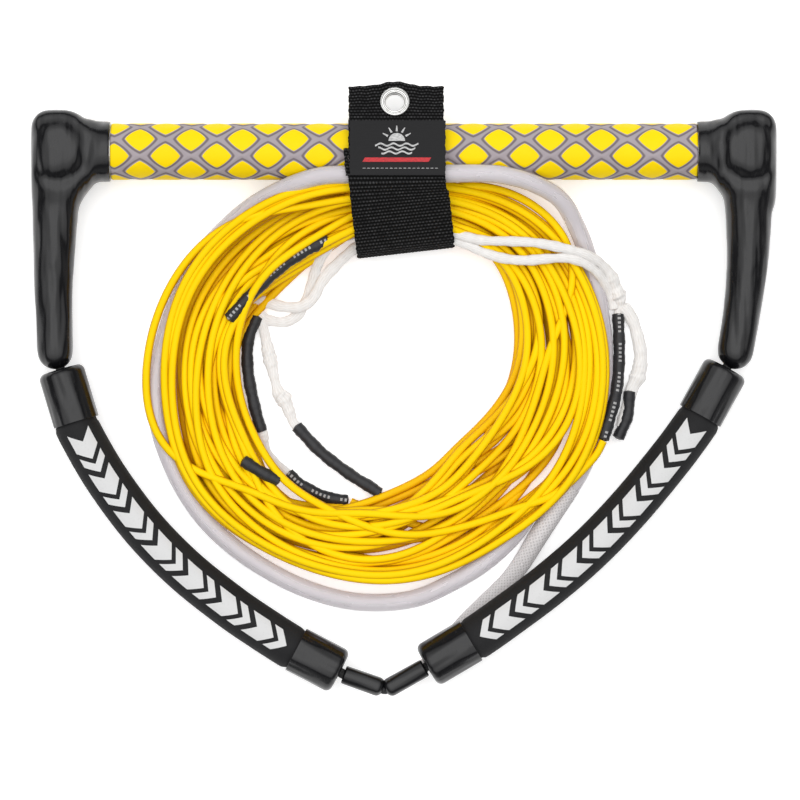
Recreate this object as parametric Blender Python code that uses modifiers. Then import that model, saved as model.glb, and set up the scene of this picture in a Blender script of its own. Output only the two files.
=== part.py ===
"""A wakeboard tow rope handle, lying flat with its rope coiled and strapped to the bar.

Units are metres, +Z is up. +X runs along the bar, +Y points from the bridle's apex to the bar,
and the surface that it lies on is z = 0.
"""

import math

import bmesh
import bpy
from mathutils import Matrix, Vector

MM = 0.001
FIT_GAP = 0.3 * MM

# Bar and grip
BAR_Y = 122.1 * MM
BAR_Z = 16.0 * MM
GRIP_RADIUS = 14.5 * MM
GRIP_ENDS = (-150.1 * MM, 150.3 * MM)
TUBE_RADIUS = 11.1 * MM
TUBE_WALL = 1.6 * MM
TUBE_ENDS = (-172.0 * MM, 172.0 * MM)
PLUG_LENGTH = 22.0 * MM
ROUND_STEPS = 24

# Arms: stations down each leg as (x, y, radius), the last one at the centre of the domed end
LEG_STATIONS = {
    "left": (
        (-178.3, 108.0, 12.5),
        (-179.0, 88.0, 11.3),
        (-179.5, 70.6, 10.4),
        (-179.9, 52.6, 9.6),
        (-179.4, 36.0, 9.1),
        (-179.0, 19.4, 9.0),
    ),
    "right": (
        (176.2, 108.0, 12.6),
        (177.0, 88.0, 11.5),
        (176.6, 68.0, 10.5),
        (175.4, 54.0, 9.8),
        (173.2, 36.7, 9.2),
        (170.2, 19.4, 9.0),
    ),
}
SIDES = {"left": -1.0, "right": 1.0}
COLLAR_RADIUS = 15.2 * MM
COLLAR_ENDS = (150.6 * MM, 162.0 * MM)
HEAD_SPHERES = (
    # distance from the middle plane, y, height off the bar's axis, radius
    (181.6, 134.0, 7.0, 9.0),
    (173.4, 134.4, 7.6, 8.4),
    (181.4, 112.0, 7.0, 9.0),
    (178.8, 98.0, 0.0, 12.0),
)
HEAD_RING_X = 158.8 * MM
HEAD_RING_RADIUS = 15.7 * MM
ROPE_RADIUS = 2.5 * MM
ROPE_BORE = 3.1 * MM
ARM_ROPE_TOP_Y = 103.0 * MM
DOME_ANGLES = (25.0, 50.0, 70.0, 83.0)

# Floats
CAP_RADIUS = 11.95 * MM
CAP_INNER = 10.8 * MM
CAP_EDGE = 3.4 * MM
CAP_WALL = 4.0 * MM
CAP_CLEARANCE = 9.4 * MM
FOAM_RADIUS = 11.4 * MM
FOAM_END_RADIUS = 10.5 * MM
FOAM_SHOULDER = 0.4 * MM
FOAM_TAPER = 0.4 * MM
FLOAT_STRAIGHT = 5.0 * MM
FLOAT_STEP = 12.0 * MM
TIP_RADIUS = 4.9 * MM
FLOATS = {
    "left": {
        "dome": (-179.0, 19.4),
        "upper_cap_end": (-168.1, -16.7),
        "curve": ((-153.0, -45.2), (-134.0, -70.8), (-112.7, -92.6), (-89.3, -111.3), (-72.9, -122.6)),
        "lower_cap_start": (-55.4, -133.3),
        "lower_cap_end": (-32.8, -145.1),
        "tip": ((-30.9, -146.3), (-12.4, -152.8)),
    },
    "right": {
        "dome": (170.2, 19.4),
        "upper_cap_end": (152.1, -13.6),
        "curve": ((137.1, -35.1), (116.5, -60.1), (95.9, -81.6), (74.2, -100.4), (51.1, -117.6)),
        "lower_cap_start": (34.5, -128.8),
        "lower_cap_end": (11.9, -142.2),
        "tip": ((10.9, -142.8), (-7.8, -153.3)),
    },
}
APEX = (-10.1, -154.0)
HINGE_Y = 19.4 * MM

# Rope keeper strap: the circles that it wraps, as (y, z, radius) beside the bar
STRAP_WRAPS = (
    (122.1, 16.0, 14.8),
    (110.0, 31.4, 4.95),
    (84.3, 11.2, 10.0),
    (136.2, 29.4, 0.0),
)
STRAP_X = (-28.2 * MM, 20.4 * MM)
STRAP_SLANT = math.tan(math.radians(6.5))
STRAP_SLANT_Y = 108.0 * MM
STRAP_SLANT_RAMP = 15.0 * MM
BAND = (0.0, 1.2)
COVER = (1.5, 2.8)
LABEL = (3.1, 3.5)
LOOP_FIELD = (1.5, 2.0)
HOOK_FIELD = (2.3, 2.8)
FLAP = (3.1, 4.4)
STRAP_STEP = 4.0 * MM
FLAP_ROOT_ANGLE = 104.0
FLAP_END_ANGLE = 193.0
FIELD_END_ANGLE = 185.0
FIELD_INSET = 3.0 * MM
TAB_LENGTH = 18.8 * MM
TAB_SETBACK = 2.6 * MM
TAB_MIDDLE = 1.5 * MM
TAB_HALF = 1.25 * MM
GROMMET_X = -4.6 * MM
GROMMET_REACH = 7.6 * MM
GROMMET_HOLE = 4.7 * MM
GROMMET_SEAT = 5.6 * MM
GROMMET_RADIUS = 7.7 * MM
GROMMET_RIM = 0.9 * MM
GROMMET_BEVEL = 0.5 * MM
GROMMET_FOOT = 0.2 * MM

# Coiled rope: radii from the coil's centre, and heights, every 30 degrees from +X
COIL_CENTRE = (-12.2, 6.9)
COIL_INNER = (63.0, 75.0, 82.0, 71.5, 76.0, 76.0, 76.0, 76.0, 74.0, 66.0, 54.0, 60.0)
COIL_OUTER = (115.0, 114.0, 108.0, 99.5, 101.0, 110.0, 117.0, 110.6, 107.0, 106.0, 103.7, 109.6)
COIL_TOP = (12.0, 12.5, 17.0, 22.0, 17.0, 12.5, 12.0, 12.0, 12.0, 12.0, 12.0, 12.0)
COIL_BOTTOM = (0.0, 0.0, 1.9, 1.9, 1.9, 0.0, 0.0, 0.0, 0.0, 0.0, 0.0, 0.0)
COIL_STATIONS = 48
COIL_SIDES = 14
COIL_SQUARENESS = 3.0

# Free rope stretches, each as a diameter and its route's points, in millimetres
JACKET = 9.2
LOOP = 4.6
SLEEVE = 6.2
CORDS = {
    "handle_section_top": (
        JACKET,
        (
            (-77.5, 93.6, 13.0),
            (-65.6, 99.8, 20.0),
            (-53.0, 105.2, 27.3),
            (-40.0, 109.0, 31.3),
            (-20.0, 110.0, 31.4),
            (0.0, 110.0, 31.4),
            (20.0, 110.0, 31.4),
            (36.0, 110.2, 31.4),
            (50.0, 109.4, 31.1),
            (66.0, 105.3, 27.6),
            (80.5, 97.0, 20.5),
            (89.4, 82.5, 11.5),
            (93.8, 71.0, 7.0),
            (95.8, 62.0, 5.0),
        ),
    ),
    "handle_section_bottom": (
        JACKET,
        (
            (-112.7, -51.1, 4.7),
            (-94.4, -75.3, 4.7),
            (-70.4, -93.8, 4.7),
            (-42.2, -105.1, 4.7),
            (-12.2, -108.6, 4.7),
            (17.4, -103.7, 4.7),
            (44.8, -91.8, 4.7),
            (69.3, -74.6, 4.7),
            (81.6, -59.5, 4.7),
        ),
    ),
    "eye_loop_right_upper": (
        LOOP,
        (
            (29.5, 83.0, 22.5),
            (45.0, 78.0, 20.5),
            (62.0, 76.6, 19.0),
            (78.0, 76.2, 18.6),
            (90.0, 75.0, 17.6),
            (101.0, 69.5, 11.0),
            (107.5, 59.5, 6.0),
            (110.6, 49.0, 3.4),
            (110.6, 40.2, 3.4),
        ),
    ),
    "eye_loop_right_lower": (
        LOOP,
        (
            (30.5, 76.0, 19.0),
            (42.0, 70.0, 17.8),
            (58.0, 67.4, 16.6),
            (74.0, 66.6, 15.8),
            (86.0, 66.6, 15.6),
            (96.0, 62.4, 13.4),
            (101.5, 55.0, 10.0),
            (104.6, 47.0, 5.4),
        ),
    ),
    "eye_loop_right_outer": (
        LOOP,
        (
            (116.2, 43.5, 2.6),
            (118.9, 32.0, 2.6),
            (122.3, 18.7, 2.6),
            (121.2, 8.0, 2.6),
            (117.4, 0.4, 2.6),
        ),
    ),
    "eye_loop_left_upper": (
        LOOP,
        (
            (-30.2, 79.0, 22.0),
            (-36.0, 75.2, 18.4),
            (-41.6, 69.4, 11.4),
            (-46.4, 60.5, 5.0),
            (-50.4, 50.0, 2.8),
            (-60.0, 42.5, 2.8),
            (-70.6, 42.6, 2.8),
        ),
    ),
    "eye_loop_left_lower": (
        LOOP,
        (
            (-27.6, 72.6, 12.0),
            (-34.4, 64.5, 5.0),
            (-39.0, 55.0, 2.6),
            (-45.4, 45.0, 2.6),
            (-55.0, 36.8, 2.6),
            (-66.0, 35.6, 2.6),
        ),
    ),
    "braid_inner": (
        LOOP,
        (
            (-69.8, 29.6, 2.6),
            (-67.0, 15.1, 2.6),
            (-62.5, -2.8, 2.6),
            (-59.6, -11.0, 2.6),
            (-56.0, -17.9, 2.6),
        ),
    ),
    "braid_lower": (
        LOOP,
        (
            (-73.0, -22.9, 3.2),
            (-70.6, -31.0, 2.8),
            (-66.0, -37.6, 2.8),
            (-60.6, -42.4, 3.2),
        ),
    ),
    "sleeve_over_coil": (
        SLEEVE,
        (
            (-90.3, 35.7, 15.6),
            (-79.0, 48.0, 15.9),
            (-63.6, 62.4, 16.4),
            (-50.6, 71.0, 18.0),
        ),
    ),
    "sleeve_left": (
        SLEEVE,
        (
            (-75.4, 38.3, 3.5),
            (-80.2, 26.0, 3.5),
            (-80.5, 10.0, 3.5),
            (-77.2, -8.0, 3.5),
            (-73.4, -22.3, 3.5),
        ),
    ),
    "sleeve_lower_left": (
        SLEEVE,
        (
            (-83.1, -36.2, 15.5),
            (-73.6, -42.2, 15.5),
            (-63.6, -47.2, 14.6),
        ),
    ),
    "sleeve_length_mark": (
        SLEEVE,
        (
            (-60.2, -43.0, 3.5),
            (-52.8, -49.4, 3.5),
            (-40.5, -55.4, 3.5),
            (-28.5, -57.6, 3.5),
        ),
    ),
    "sleeve_inner": (
        SLEEVE,
        (
            (-55.8, -18.5, 3.5),
            (-43.0, -32.1, 3.5),
            (-27.6, -43.9, 3.5),
            (-16.8, -50.6, 3.5),
        ),
    ),
    "sleeve_right": (
        SLEEVE,
        (
            (110.6, 39.6, 3.5),
            (111.2, 17.2, 3.5),
            (109.2, -2.8, 3.5),
            (102.6, -26.4, 3.5),
        ),
    ),
    "sleeve_right_outer": (
        SLEEVE,
        (
            (116.6, -0.4, 3.5),
            (115.4, -13.5, 3.5),
            (110.4, -25.6, 3.5),
        ),
    ),
}
LEADER_WIDTH = 9.4
LEADER_THICKNESS = 3.3
LEADER_ROUTE = (
    (55.5, -97.0, 1.75),
    (49.4, -103.5, 1.75),
    (41.7, -110.9, 1.75),
    (33.0, -119.5, 1.75),
    (24.0, -128.0, 1.75),
    (14.0, -136.5, 1.75),
    (5.0, -143.5, 3.0),
    (-3.6, -149.8, 6.4),
)
CORD_STEP = 2.4
CORD_RESOLUTION = 2


# ---------------------------------------------------------------- scene and materials


def clear_scene():
    for obj in list(bpy.data.objects):
        bpy.data.objects.remove(obj, do_unlink=True)


def collection(name):
    made = bpy.data.collections.new(name)
    bpy.context.scene.collection.children.link(made)
    return made


def material(name, colour, roughness, metallic=0.0):
    made = bpy.data.materials.new(name)
    made.use_nodes = True
    shader = made.node_tree.nodes["Principled BSDF"]
    shader.inputs["Base Color"].default_value = (*colour, 1.0)
    shader.inputs["Roughness"].default_value = roughness
    shader.inputs["Metallic"].default_value = metallic
    made.diffuse_color = (*colour, 1.0)
    return made


def grip_foam():
    return material("grip_foam", (1.0, 0.80, 0.0), 0.6)


def black_vinyl():
    return material("black_vinyl", (0.012, 0.012, 0.013), 0.18)


def black_foam():
    return material("black_foam", (0.03, 0.03, 0.032), 0.7)


def aluminium():
    return material("aluminium", (0.80, 0.80, 0.82), 0.35, 1.0)


def bridle_braid():
    return material("bridle_braid", (0.05, 0.05, 0.05), 0.7)


def webbing():
    return material("webbing", (0.015, 0.015, 0.017), 0.8)


def label_satin():
    return material("label_satin", (0.03, 0.03, 0.032), 0.45)


def nickel():
    return material("nickel", (0.75, 0.75, 0.74), 0.2, 1.0)


def yellow_rope():
    return material("yellow_rope", (1.0, 0.62, 0.0), 0.4)


def clear_jacket():
    return material("clear_jacket", (0.62, 0.58, 0.62), 0.3)


def white_braid():
    return material("white_braid", (0.82, 0.80, 0.76), 0.7)


def shrink_sleeve():
    return material("shrink_sleeve", (0.02, 0.02, 0.024), 0.4)


# ---------------------------------------------------------------- modelling helpers


def keep(obj, mat, home, parent=None):
    """Puts a finished piece in its collection, with its material and its parent."""
    for old in list(obj.users_collection):
        old.objects.unlink(obj)
    home.objects.link(obj)
    obj.data.materials.clear()
    obj.data.materials.append(mat)
    if parent is not None:
        obj.parent = parent
        obj.matrix_parent_inverse = parent.matrix_world.inverted()
    return obj


def hinge_empty(name, y, z, home):
    empty = bpy.data.objects.new(name, None)
    empty.location = (0.0, y, z)
    home.objects.link(empty)
    bpy.context.view_layer.update()
    return empty


def object_from(name, bm):
    mesh = bpy.data.meshes.new(name)
    bm.to_mesh(mesh)
    bm.free()
    obj = bpy.data.objects.new(name, mesh)
    bpy.context.scene.collection.objects.link(obj)
    return obj


def shade(obj, degrees=35.0):
    obj.data.shade_smooth()
    obj.data.set_sharp_from_angle(angle=math.radians(degrees))
    return obj


def on_axis(start, end):
    """The matrix that stands a piece made along +Z from the origin on the line from start to end."""
    direction = (Vector(end) - Vector(start)).normalized()
    return Matrix.Translation(start) @ direction.to_track_quat("Z", "Y").to_matrix().to_4x4()


def turned(name, profile, start, end, steps=ROUND_STEPS):
    """A turned solid: a closed profile of (radius, height), down its outer side first."""
    bm = bmesh.new()
    verts = [bm.verts.new((radius, 0.0, height)) for radius, height in profile]
    for first, second in zip(verts, verts[1:] + verts[:1]):
        bm.edges.new((first, second))
    obj = object_from(name, bm)
    obj.matrix_world = on_axis(start, end)
    screw = obj.modifiers.new("turn", "SCREW")
    screw.steps = steps
    screw.render_steps = steps
    screw.use_merge_vertices = True
    screw.merge_threshold = 0.00001
    bpy.context.view_layer.update()
    return meshed(obj)


def meshed(obj):
    """The object's evaluated shape as a welded mesh object of the same name, in world space."""
    name = obj.name
    graph = bpy.context.evaluated_depsgraph_get()
    mesh = bpy.data.meshes.new_from_object(obj.evaluated_get(graph))
    mesh.transform(obj.matrix_world)
    bpy.data.objects.remove(obj, do_unlink=True)
    bm = bmesh.new()
    bm.from_mesh(mesh)
    bmesh.ops.remove_doubles(bm, verts=bm.verts, dist=0.000002)
    bm.to_mesh(mesh)
    bm.free()
    mesh.name = name
    made = bpy.data.objects.new(name, mesh)
    bpy.context.scene.collection.objects.link(made)
    return made


def tube(name, points, radius, resolution=CORD_RESOLUTION, scales=None):
    """A round bar along the points, as a curve object; scales are factors on its radius."""
    curve = bpy.data.curves.new(name, "CURVE")
    curve.dimensions = "3D"
    curve.bevel_depth = radius
    curve.bevel_resolution = resolution
    curve.use_fill_caps = True
    curve.twist_mode = "MINIMUM"
    spline = curve.splines.new("POLY")
    spline.points.add(len(points) - 1)
    for place, co in enumerate(points):
        spline.points[place].co = (*co, 1.0)
        spline.points[place].radius = 1.0 if scales is None else scales[place]
    obj = bpy.data.objects.new(name, curve)
    bpy.context.scene.collection.objects.link(obj)
    bpy.context.view_layer.update()
    return obj


def smooth_route(points, step):
    """Points about one step apart on a Catmull-Rom curve through the given ones."""
    knots = [Vector(p) for p in points]
    knots = [2 * knots[0] - knots[1], *knots, 2 * knots[-1] - knots[-2]]
    made = []
    for before, start, end, after in zip(knots, knots[1:], knots[2:], knots[3:]):
        count = max(1, round((end - start).length / step))
        for i in range(count):
            t = i / count
            made.append(
                0.5
                * (
                    2 * start
                    + (end - before) * t
                    + (2 * before - 5 * start + 4 * end - after) * t**2
                    + (3 * start - before - 3 * end + after) * t**3
                )
            )
    made.append(knots[-2])
    return made


def boolean(obj, other, operation):
    modifier = obj.modifiers.new(operation.lower(), "BOOLEAN")
    modifier.operation = operation
    modifier.object = other
    modifier.solver = "EXACT"


def finished(obj, *used):
    """Applies the object's modifiers and removes the helpers that they used."""
    bpy.context.view_layer.update()
    made = meshed(obj)
    for helper in used:
        bpy.data.objects.remove(helper, do_unlink=True)
    return made


def flat_point(pair):
    """A point in the plane of the bar's axis, from x and y in millimetres."""
    return Vector((pair[0] * MM, pair[1] * MM, BAR_Z))


# ---------------------------------------------------------------- bar and grip


def ring_profile(outer, inner, length):
    return ((outer, length), (outer, 0.0), (inner, 0.0), (inner, length))


def bar_tube():
    start, end = TUBE_ENDS
    profile = ring_profile(TUBE_RADIUS, TUBE_RADIUS - TUBE_WALL, end - start)
    return turned("bar_tube", profile, (start, BAR_Y, BAR_Z), (end, BAR_Y, BAR_Z))


def grip_sleeve():
    start, end = GRIP_ENDS
    profile = ring_profile(GRIP_RADIUS, TUBE_RADIUS + FIT_GAP, end - start)
    return turned("grip_sleeve", profile, (start, BAR_Y, BAR_Z), (end, BAR_Y, BAR_Z))


def end_plug(side):
    outward = SIDES[side]
    outer_end = TUBE_ENDS[1] - 1.0 * MM
    radius = TUBE_RADIUS - TUBE_WALL - FIT_GAP
    ends = (outward * (outer_end - PLUG_LENGTH), outward * outer_end)
    return tube(f"bar_end_plug_{side}", [(x, BAR_Y, BAR_Z) for x in ends], radius, 6)


# ---------------------------------------------------------------- arms


def leg_stations(side):
    return [(x * MM, y * MM, radius * MM) for x, y, radius in LEG_STATIONS[side]]


def arm_leg(side):
    stations = leg_stations(side)
    x, y, dome = stations[-1]
    points = [(sx, sy, BAR_Z) for sx, sy, _ in stations]
    radii = [radius for _, _, radius in stations]
    for degrees in DOME_ANGLES:
        angle = math.radians(degrees)
        points.append((x, y - dome * math.sin(angle), BAR_Z))
        radii.append(dome * math.cos(angle))
    obj = tube(f"arm_{side}", points, 1.0, 8, radii)
    return meshed(obj)


def ball_points(centre, radius):
    ball = bmesh.new()
    bmesh.ops.create_uvsphere(ball, u_segments=12, v_segments=8, radius=radius)
    made = [centre + vertex.co for vertex in ball.verts]
    ball.free()
    return made


def arm_head(side):
    """The head is the hull of the collar's ring and of the balls at its corners."""
    outward = SIDES[side]
    points = []
    for step in range(ROUND_STEPS):
        angle = 2 * math.pi * step / ROUND_STEPS
        y = BAR_Y + HEAD_RING_RADIUS * math.cos(angle)
        z = BAR_Z + HEAD_RING_RADIUS * math.sin(angle)
        points.append((outward * HEAD_RING_X, y, z))
    for x, y, rise, radius in HEAD_SPHERES:
        for height in sorted({-rise, rise}):
            centre = Vector((outward * x * MM, y * MM, BAR_Z + height * MM))
            points.extend(ball_points(centre, radius * MM))
    bm = bmesh.new()
    hull = bmesh.ops.convex_hull(bm, input=[bm.verts.new(co) for co in points])
    inside = [item for item in hull["geom_interior"] if isinstance(item, bmesh.types.BMVert)]
    bmesh.ops.delete(bm, geom=inside, context="VERTS")
    bmesh.ops.recalc_face_normals(bm, faces=bm.faces)
    return object_from(f"head_{side}", bm)


def arm_collar(side):
    outward = SIDES[side]
    ends = [(outward * x, BAR_Y, BAR_Z) for x in COLLAR_ENDS]
    return meshed(tube(f"collar_{side}", ends, COLLAR_RADIUS, 10))


def bar_bore(side):
    outward = SIDES[side]
    ends = [(outward * x, BAR_Y, BAR_Z) for x in (COLLAR_ENDS[0] - MM, TUBE_ENDS[1] + FIT_GAP)]
    return meshed(tube(f"bar_bore_{side}", ends, TUBE_RADIUS + FIT_GAP, 10))


def arm_rope_path(side, past_dome, top_y):
    stations = leg_stations(side)
    x, y, dome = stations[-1]
    points = [(sx, sy, BAR_Z) for sx, sy, _ in stations[1:]]
    return [(stations[0][0], top_y, BAR_Z), *points, (x, y - dome - past_dome, BAR_Z)]


def arm(side):
    body = arm_leg(side)
    head = arm_head(side)
    collar = arm_collar(side)
    bar = bar_bore(side)
    rope_path = arm_rope_path(side, MM, ARM_ROPE_TOP_Y + FIT_GAP)
    rope = meshed(tube(f"rope_bore_{side}", rope_path, ROPE_BORE, 4))
    boolean(body, head, "UNION")
    boolean(body, collar, "UNION")
    boolean(body, bar, "DIFFERENCE")
    boolean(body, rope, "DIFFERENCE")
    return finished(body, head, collar, bar, rope)


def arm_rope(side):
    points = arm_rope_path(side, -0.6 * MM, ARM_ROPE_TOP_Y)
    return tube(f"arm_rope_{side}", points, ROPE_RADIUS)


# ---------------------------------------------------------------- bridle


def float_marks(side):
    """The named places along a float: cap faces, curve points and tip ends."""
    plan = FLOATS[side]
    dome = flat_point(plan["dome"])
    upper_end = flat_point(plan["upper_cap_end"])
    upper_start = dome + (upper_end - dome).normalized() * CAP_CLEARANCE
    lower = (flat_point(plan["lower_cap_start"]), flat_point(plan["lower_cap_end"]))
    tip = tuple(flat_point(pair) for pair in plan["tip"])
    return {
        "upper": (upper_start, upper_end),
        "curve": [flat_point(pair) for pair in plan["curve"]],
        "lower": lower,
        "tip": tip,
    }


def cap_profile(length):
    """A cup, its closed end at height 0, with a hole for the rope and a rounded edge."""
    outer = [(CAP_RADIUS, length)]
    for step in range(4):
        angle = math.radians(30.0 * step)
        radius = CAP_RADIUS - CAP_EDGE * (1.0 - math.cos(angle))
        outer.append((radius, CAP_EDGE * (1.0 - math.sin(angle))))
    return (
        *outer,
        (ROPE_BORE, 0.0),
        (ROPE_BORE, CAP_WALL),
        (CAP_INNER, CAP_WALL),
        (CAP_INNER, length),
    )


def float_cap(side, level):
    start, end = float_marks(side)[level]
    if level == "lower":
        start, end = end, start
    return turned(f"float_{level}_cap_{side}", cap_profile((end - start).length), start, end)


def float_line(side):
    """The float's centre line: straight inside both caps, curved between them."""
    marks = float_marks(side)
    upper_start, upper_end = marks["upper"]
    lower_start, lower_end = marks["lower"]
    leave = (upper_end - upper_start).normalized() * FLOAT_STRAIGHT
    arrive = (lower_end - lower_start).normalized() * FLOAT_STRAIGHT
    return smooth_route([upper_end + leave, *marks["curve"], lower_start - arrive], FLOAT_STEP)


def float_foam(side):
    marks = float_marks(side)
    upper_start, upper_end = marks["upper"]
    lower_start, lower_end = marks["lower"]
    down = (upper_end - upper_start).normalized()
    along = (lower_end - lower_start).normalized()
    inset = CAP_WALL + FIT_GAP
    narrow = FOAM_END_RADIUS
    wide = FOAM_RADIUS
    points = [
        upper_start + down * inset,
        upper_end + down * FOAM_SHOULDER,
        upper_end + down * (FOAM_SHOULDER + FOAM_TAPER),
        *float_line(side),
        lower_start - along * (FOAM_SHOULDER + FOAM_TAPER),
        lower_start - along * FOAM_SHOULDER,
        lower_end - along * inset,
    ]
    radii = [narrow, narrow, *[wide] * (len(points) - 4), narrow, narrow]
    body = meshed(tube(f"float_foam_{side}", points, 1.0, 7, radii))
    bore_path = [upper_start, upper_end, *float_line(side), lower_start, lower_end]
    bore = meshed(tube(f"foam_bore_{side}", bore_path, ROPE_BORE, 3))
    boolean(body, bore, "DIFFERENCE")
    return finished(body, bore)


def tip_sleeve(side):
    start, end = float_marks(side)["tip"]
    profile = ring_profile(TIP_RADIUS, ROPE_BORE, (end - start).length)
    return turned(f"tip_sleeve_{side}", profile, start, end, 16)


def bridle_rope():
    """One rope through both floats, bent at the apex between the tip sleeves."""
    halves = []
    for side in SIDES:
        marks = float_marks(side)
        upper_start, upper_end = marks["upper"]
        down = (upper_end - upper_start).normalized()
        top = [upper_start + down * FIT_GAP, upper_end]
        halves.append([*top, *float_line(side), *marks["lower"], *marks["tip"]])
    left, right = halves
    return tube("bridle_rope", [*left, flat_point(APEX), *reversed(right)], ROPE_RADIUS)


# ---------------------------------------------------------------- strap


def wrap_point(degrees, offset):
    """The point of the strap's loop whose outward direction is that angle from +Y, offset in mm."""
    normal = Vector((math.cos(math.radians(degrees)), math.sin(math.radians(degrees))))
    y, z, radius = max(STRAP_WRAPS, key=lambda c: c[0] * normal[0] + c[1] * normal[1] + c[2])
    return Vector((y, z)) * MM + normal * (radius + offset) * MM


def wrap_path(first, last, offset, degrees_step=10.0):
    """Points of the loop from one direction to another, its straight runs cut into steps."""
    count = max(1, round((last - first) / degrees_step))
    corners = [wrap_point(first + (last - first) * i / count, offset) for i in range(count + 1)]
    made = [corners[0]]
    for start, end in zip(corners, corners[1:]):
        pieces = max(1, math.ceil((end - start).length / STRAP_STEP))
        made.extend(start.lerp(end, (i + 1) / pieces) for i in range(pieces))
    return made


def slanted(co):
    """Below the bar the strap runs at a slight slant across the coil."""
    drop = max(0.0, STRAP_SLANT_Y - co.y)
    ramp = min(1.0, drop / STRAP_SLANT_RAMP)
    middle = sum(STRAP_X) / 2
    return Vector((co.x + STRAP_SLANT * drop, co.y + STRAP_SLANT * (co.x - middle) * ramp, co.z))


def strap_solid(name, outlines, across=STRAP_X):
    """A 2D curve of (y, z) outlines, extruded along the bar between two x places."""
    curve = bpy.data.curves.new(name, "CURVE")
    curve.dimensions = "2D"
    curve.fill_mode = "BOTH"
    curve.extrude = (across[1] - across[0]) / 2
    for outline in outlines:
        spline = curve.splines.new("POLY")
        spline.points.add(len(outline) - 1)
        for place, (y, z) in enumerate(outline):
            spline.points[place].co = (y, z, 0.0, 1.0)
        spline.use_cyclic_u = True
    obj = bpy.data.objects.new(name, curve)
    bpy.context.scene.collection.objects.link(obj)
    turn = Matrix(((0, 0, 1, 0), (1, 0, 0, 0), (0, 1, 0, 0), (0, 0, 0, 1)))
    obj.matrix_world = Matrix.Translation((sum(across) / 2, 0.0, 0.0)) @ turn
    bpy.context.view_layer.update()
    made = meshed(obj)
    for vertex in made.data.vertices:
        vertex.co = slanted(vertex.co)
    return made


def layer(name, first, last, offsets, across=STRAP_X):
    """A layer of the strap between two offsets from what it wraps."""
    low, high = offsets
    outline = [*wrap_path(first, last, low), *reversed(wrap_path(first, last, high))]
    return strap_solid(name, [outline], across)


def strap_band():
    full = [wrap_path(0.0, 360.0, offset)[:-1] for offset in BAND]
    return strap_solid("strap_band", full)


def front_angles():
    """The directions square to the label's face and to the flap's, over their straight runs."""
    _, rope, coil, root = STRAP_WRAPS
    label = tangent_angle(root, rope)
    flap = tangent_angle(rope, coil)
    return label, flap


def tangent_angle(first, second):
    """The outward direction of the line that touches both circles on their upper side."""
    run = Vector((second[0] - first[0], second[1] - first[1]))
    lean = math.degrees(math.asin((first[2] - second[2]) / run.length))
    return (math.degrees(math.atan2(run.y, run.x)) - 90.0 + lean) % 360.0


def tab_axis():
    """The tab's hinge line, (y, z), and its direction away from the bar."""
    label, _ = front_angles()
    normal = Vector((math.cos(math.radians(label)), math.sin(math.radians(label))))
    along = Vector((normal.y, -normal.x))
    root = Vector(STRAP_WRAPS[3][:2]) * MM
    return root + along * TAB_SETBACK + normal * TAB_MIDDLE, along, normal


def flap_axis():
    return wrap_point(FLAP_ROOT_ANGLE, sum(FLAP) / 2)


def rounded_strip(start, end, half):
    """An outline of even width from start to end, its first end round about start."""
    along = (end - start).normalized()
    side = Vector((-along.y, along.x))
    made = [end - side * half, end + side * half]
    for step in range(7):
        angle = math.radians(90.0 + 30.0 * step)
        made.append(start + (along * math.cos(angle) + side * math.sin(angle)) * half)
    return made


def strap_tab():
    axis, along, normal = tab_axis()
    outline = rounded_strip(axis, axis + along * TAB_LENGTH, TAB_HALF)
    body = strap_solid("strap_tab", [outline])
    middle = axis + along * GROMMET_REACH
    centre = Vector((GROMMET_X, *middle))
    up = Vector((0.0, *normal))
    hole = meshed(tube("tab_hole", [centre - up * 5 * MM, centre + up * 5 * MM], GROMMET_SEAT, 8))
    boolean(body, hole, "DIFFERENCE")
    return finished(body, hole)


def grommet_part(name, face):
    """Half of the grommet: a barrel through the tab with a flange on its own face."""
    axis, along, normal = tab_axis()
    middle = axis + along * GROMMET_REACH
    up = Vector((0.0, *normal)) * face
    centre = Vector((GROMMET_X, *middle))
    base = TAB_HALF + FIT_GAP
    top = base + GROMMET_RIM
    barrel = GROMMET_SEAT - FIT_GAP
    profile = (
        (GROMMET_RADIUS - GROMMET_BEVEL, top),
        (GROMMET_RADIUS, top - GROMMET_BEVEL),
        (GROMMET_RADIUS, base),
        (barrel, base),
        (barrel, GROMMET_FOOT),
        (GROMMET_HOLE, GROMMET_FOOT),
        (GROMMET_HOLE, top - GROMMET_BEVEL),
        (GROMMET_HOLE + GROMMET_BEVEL, top),
    )
    return turned(name, profile, centre, centre + up)


def strap_cover():
    label, _ = front_angles()
    return layer("strap_cover", label - 2.0, FLAP_ROOT_ANGLE - 4.0, COVER)


def strap_label():
    label, _ = front_angles()
    return layer("strap_label", label - 2.0, FLAP_ROOT_ANGLE - 7.0, LABEL)


def strap_flap():
    """The flap's root is round about its hinge, and it curls over the coil's inner side."""
    low, high = FLAP
    half = (high - low) / 2 * MM
    axis = flap_axis()
    first = FLAP_ROOT_ANGLE + 1.0
    outer = wrap_path(first, FLAP_END_ANGLE, high)
    inner = wrap_path(first, FLAP_END_ANGLE, low)
    root = []
    for step in range(1, 6):
        angle = math.radians(FLAP_ROOT_ANGLE - 30.0 * step)
        root.append(axis + Vector((math.cos(angle), math.sin(angle))) * half)
    return strap_solid("strap_flap", [[*outer, *reversed(inner), *reversed(root)]])


def closure_field(name, offsets):
    _, flap = front_angles()
    across = (STRAP_X[0] + FIELD_INSET, STRAP_X[1] - FIELD_INSET)
    return layer(name, flap - 1.0, FIELD_END_ANGLE, offsets, across)


# ---------------------------------------------------------------- rope


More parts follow.
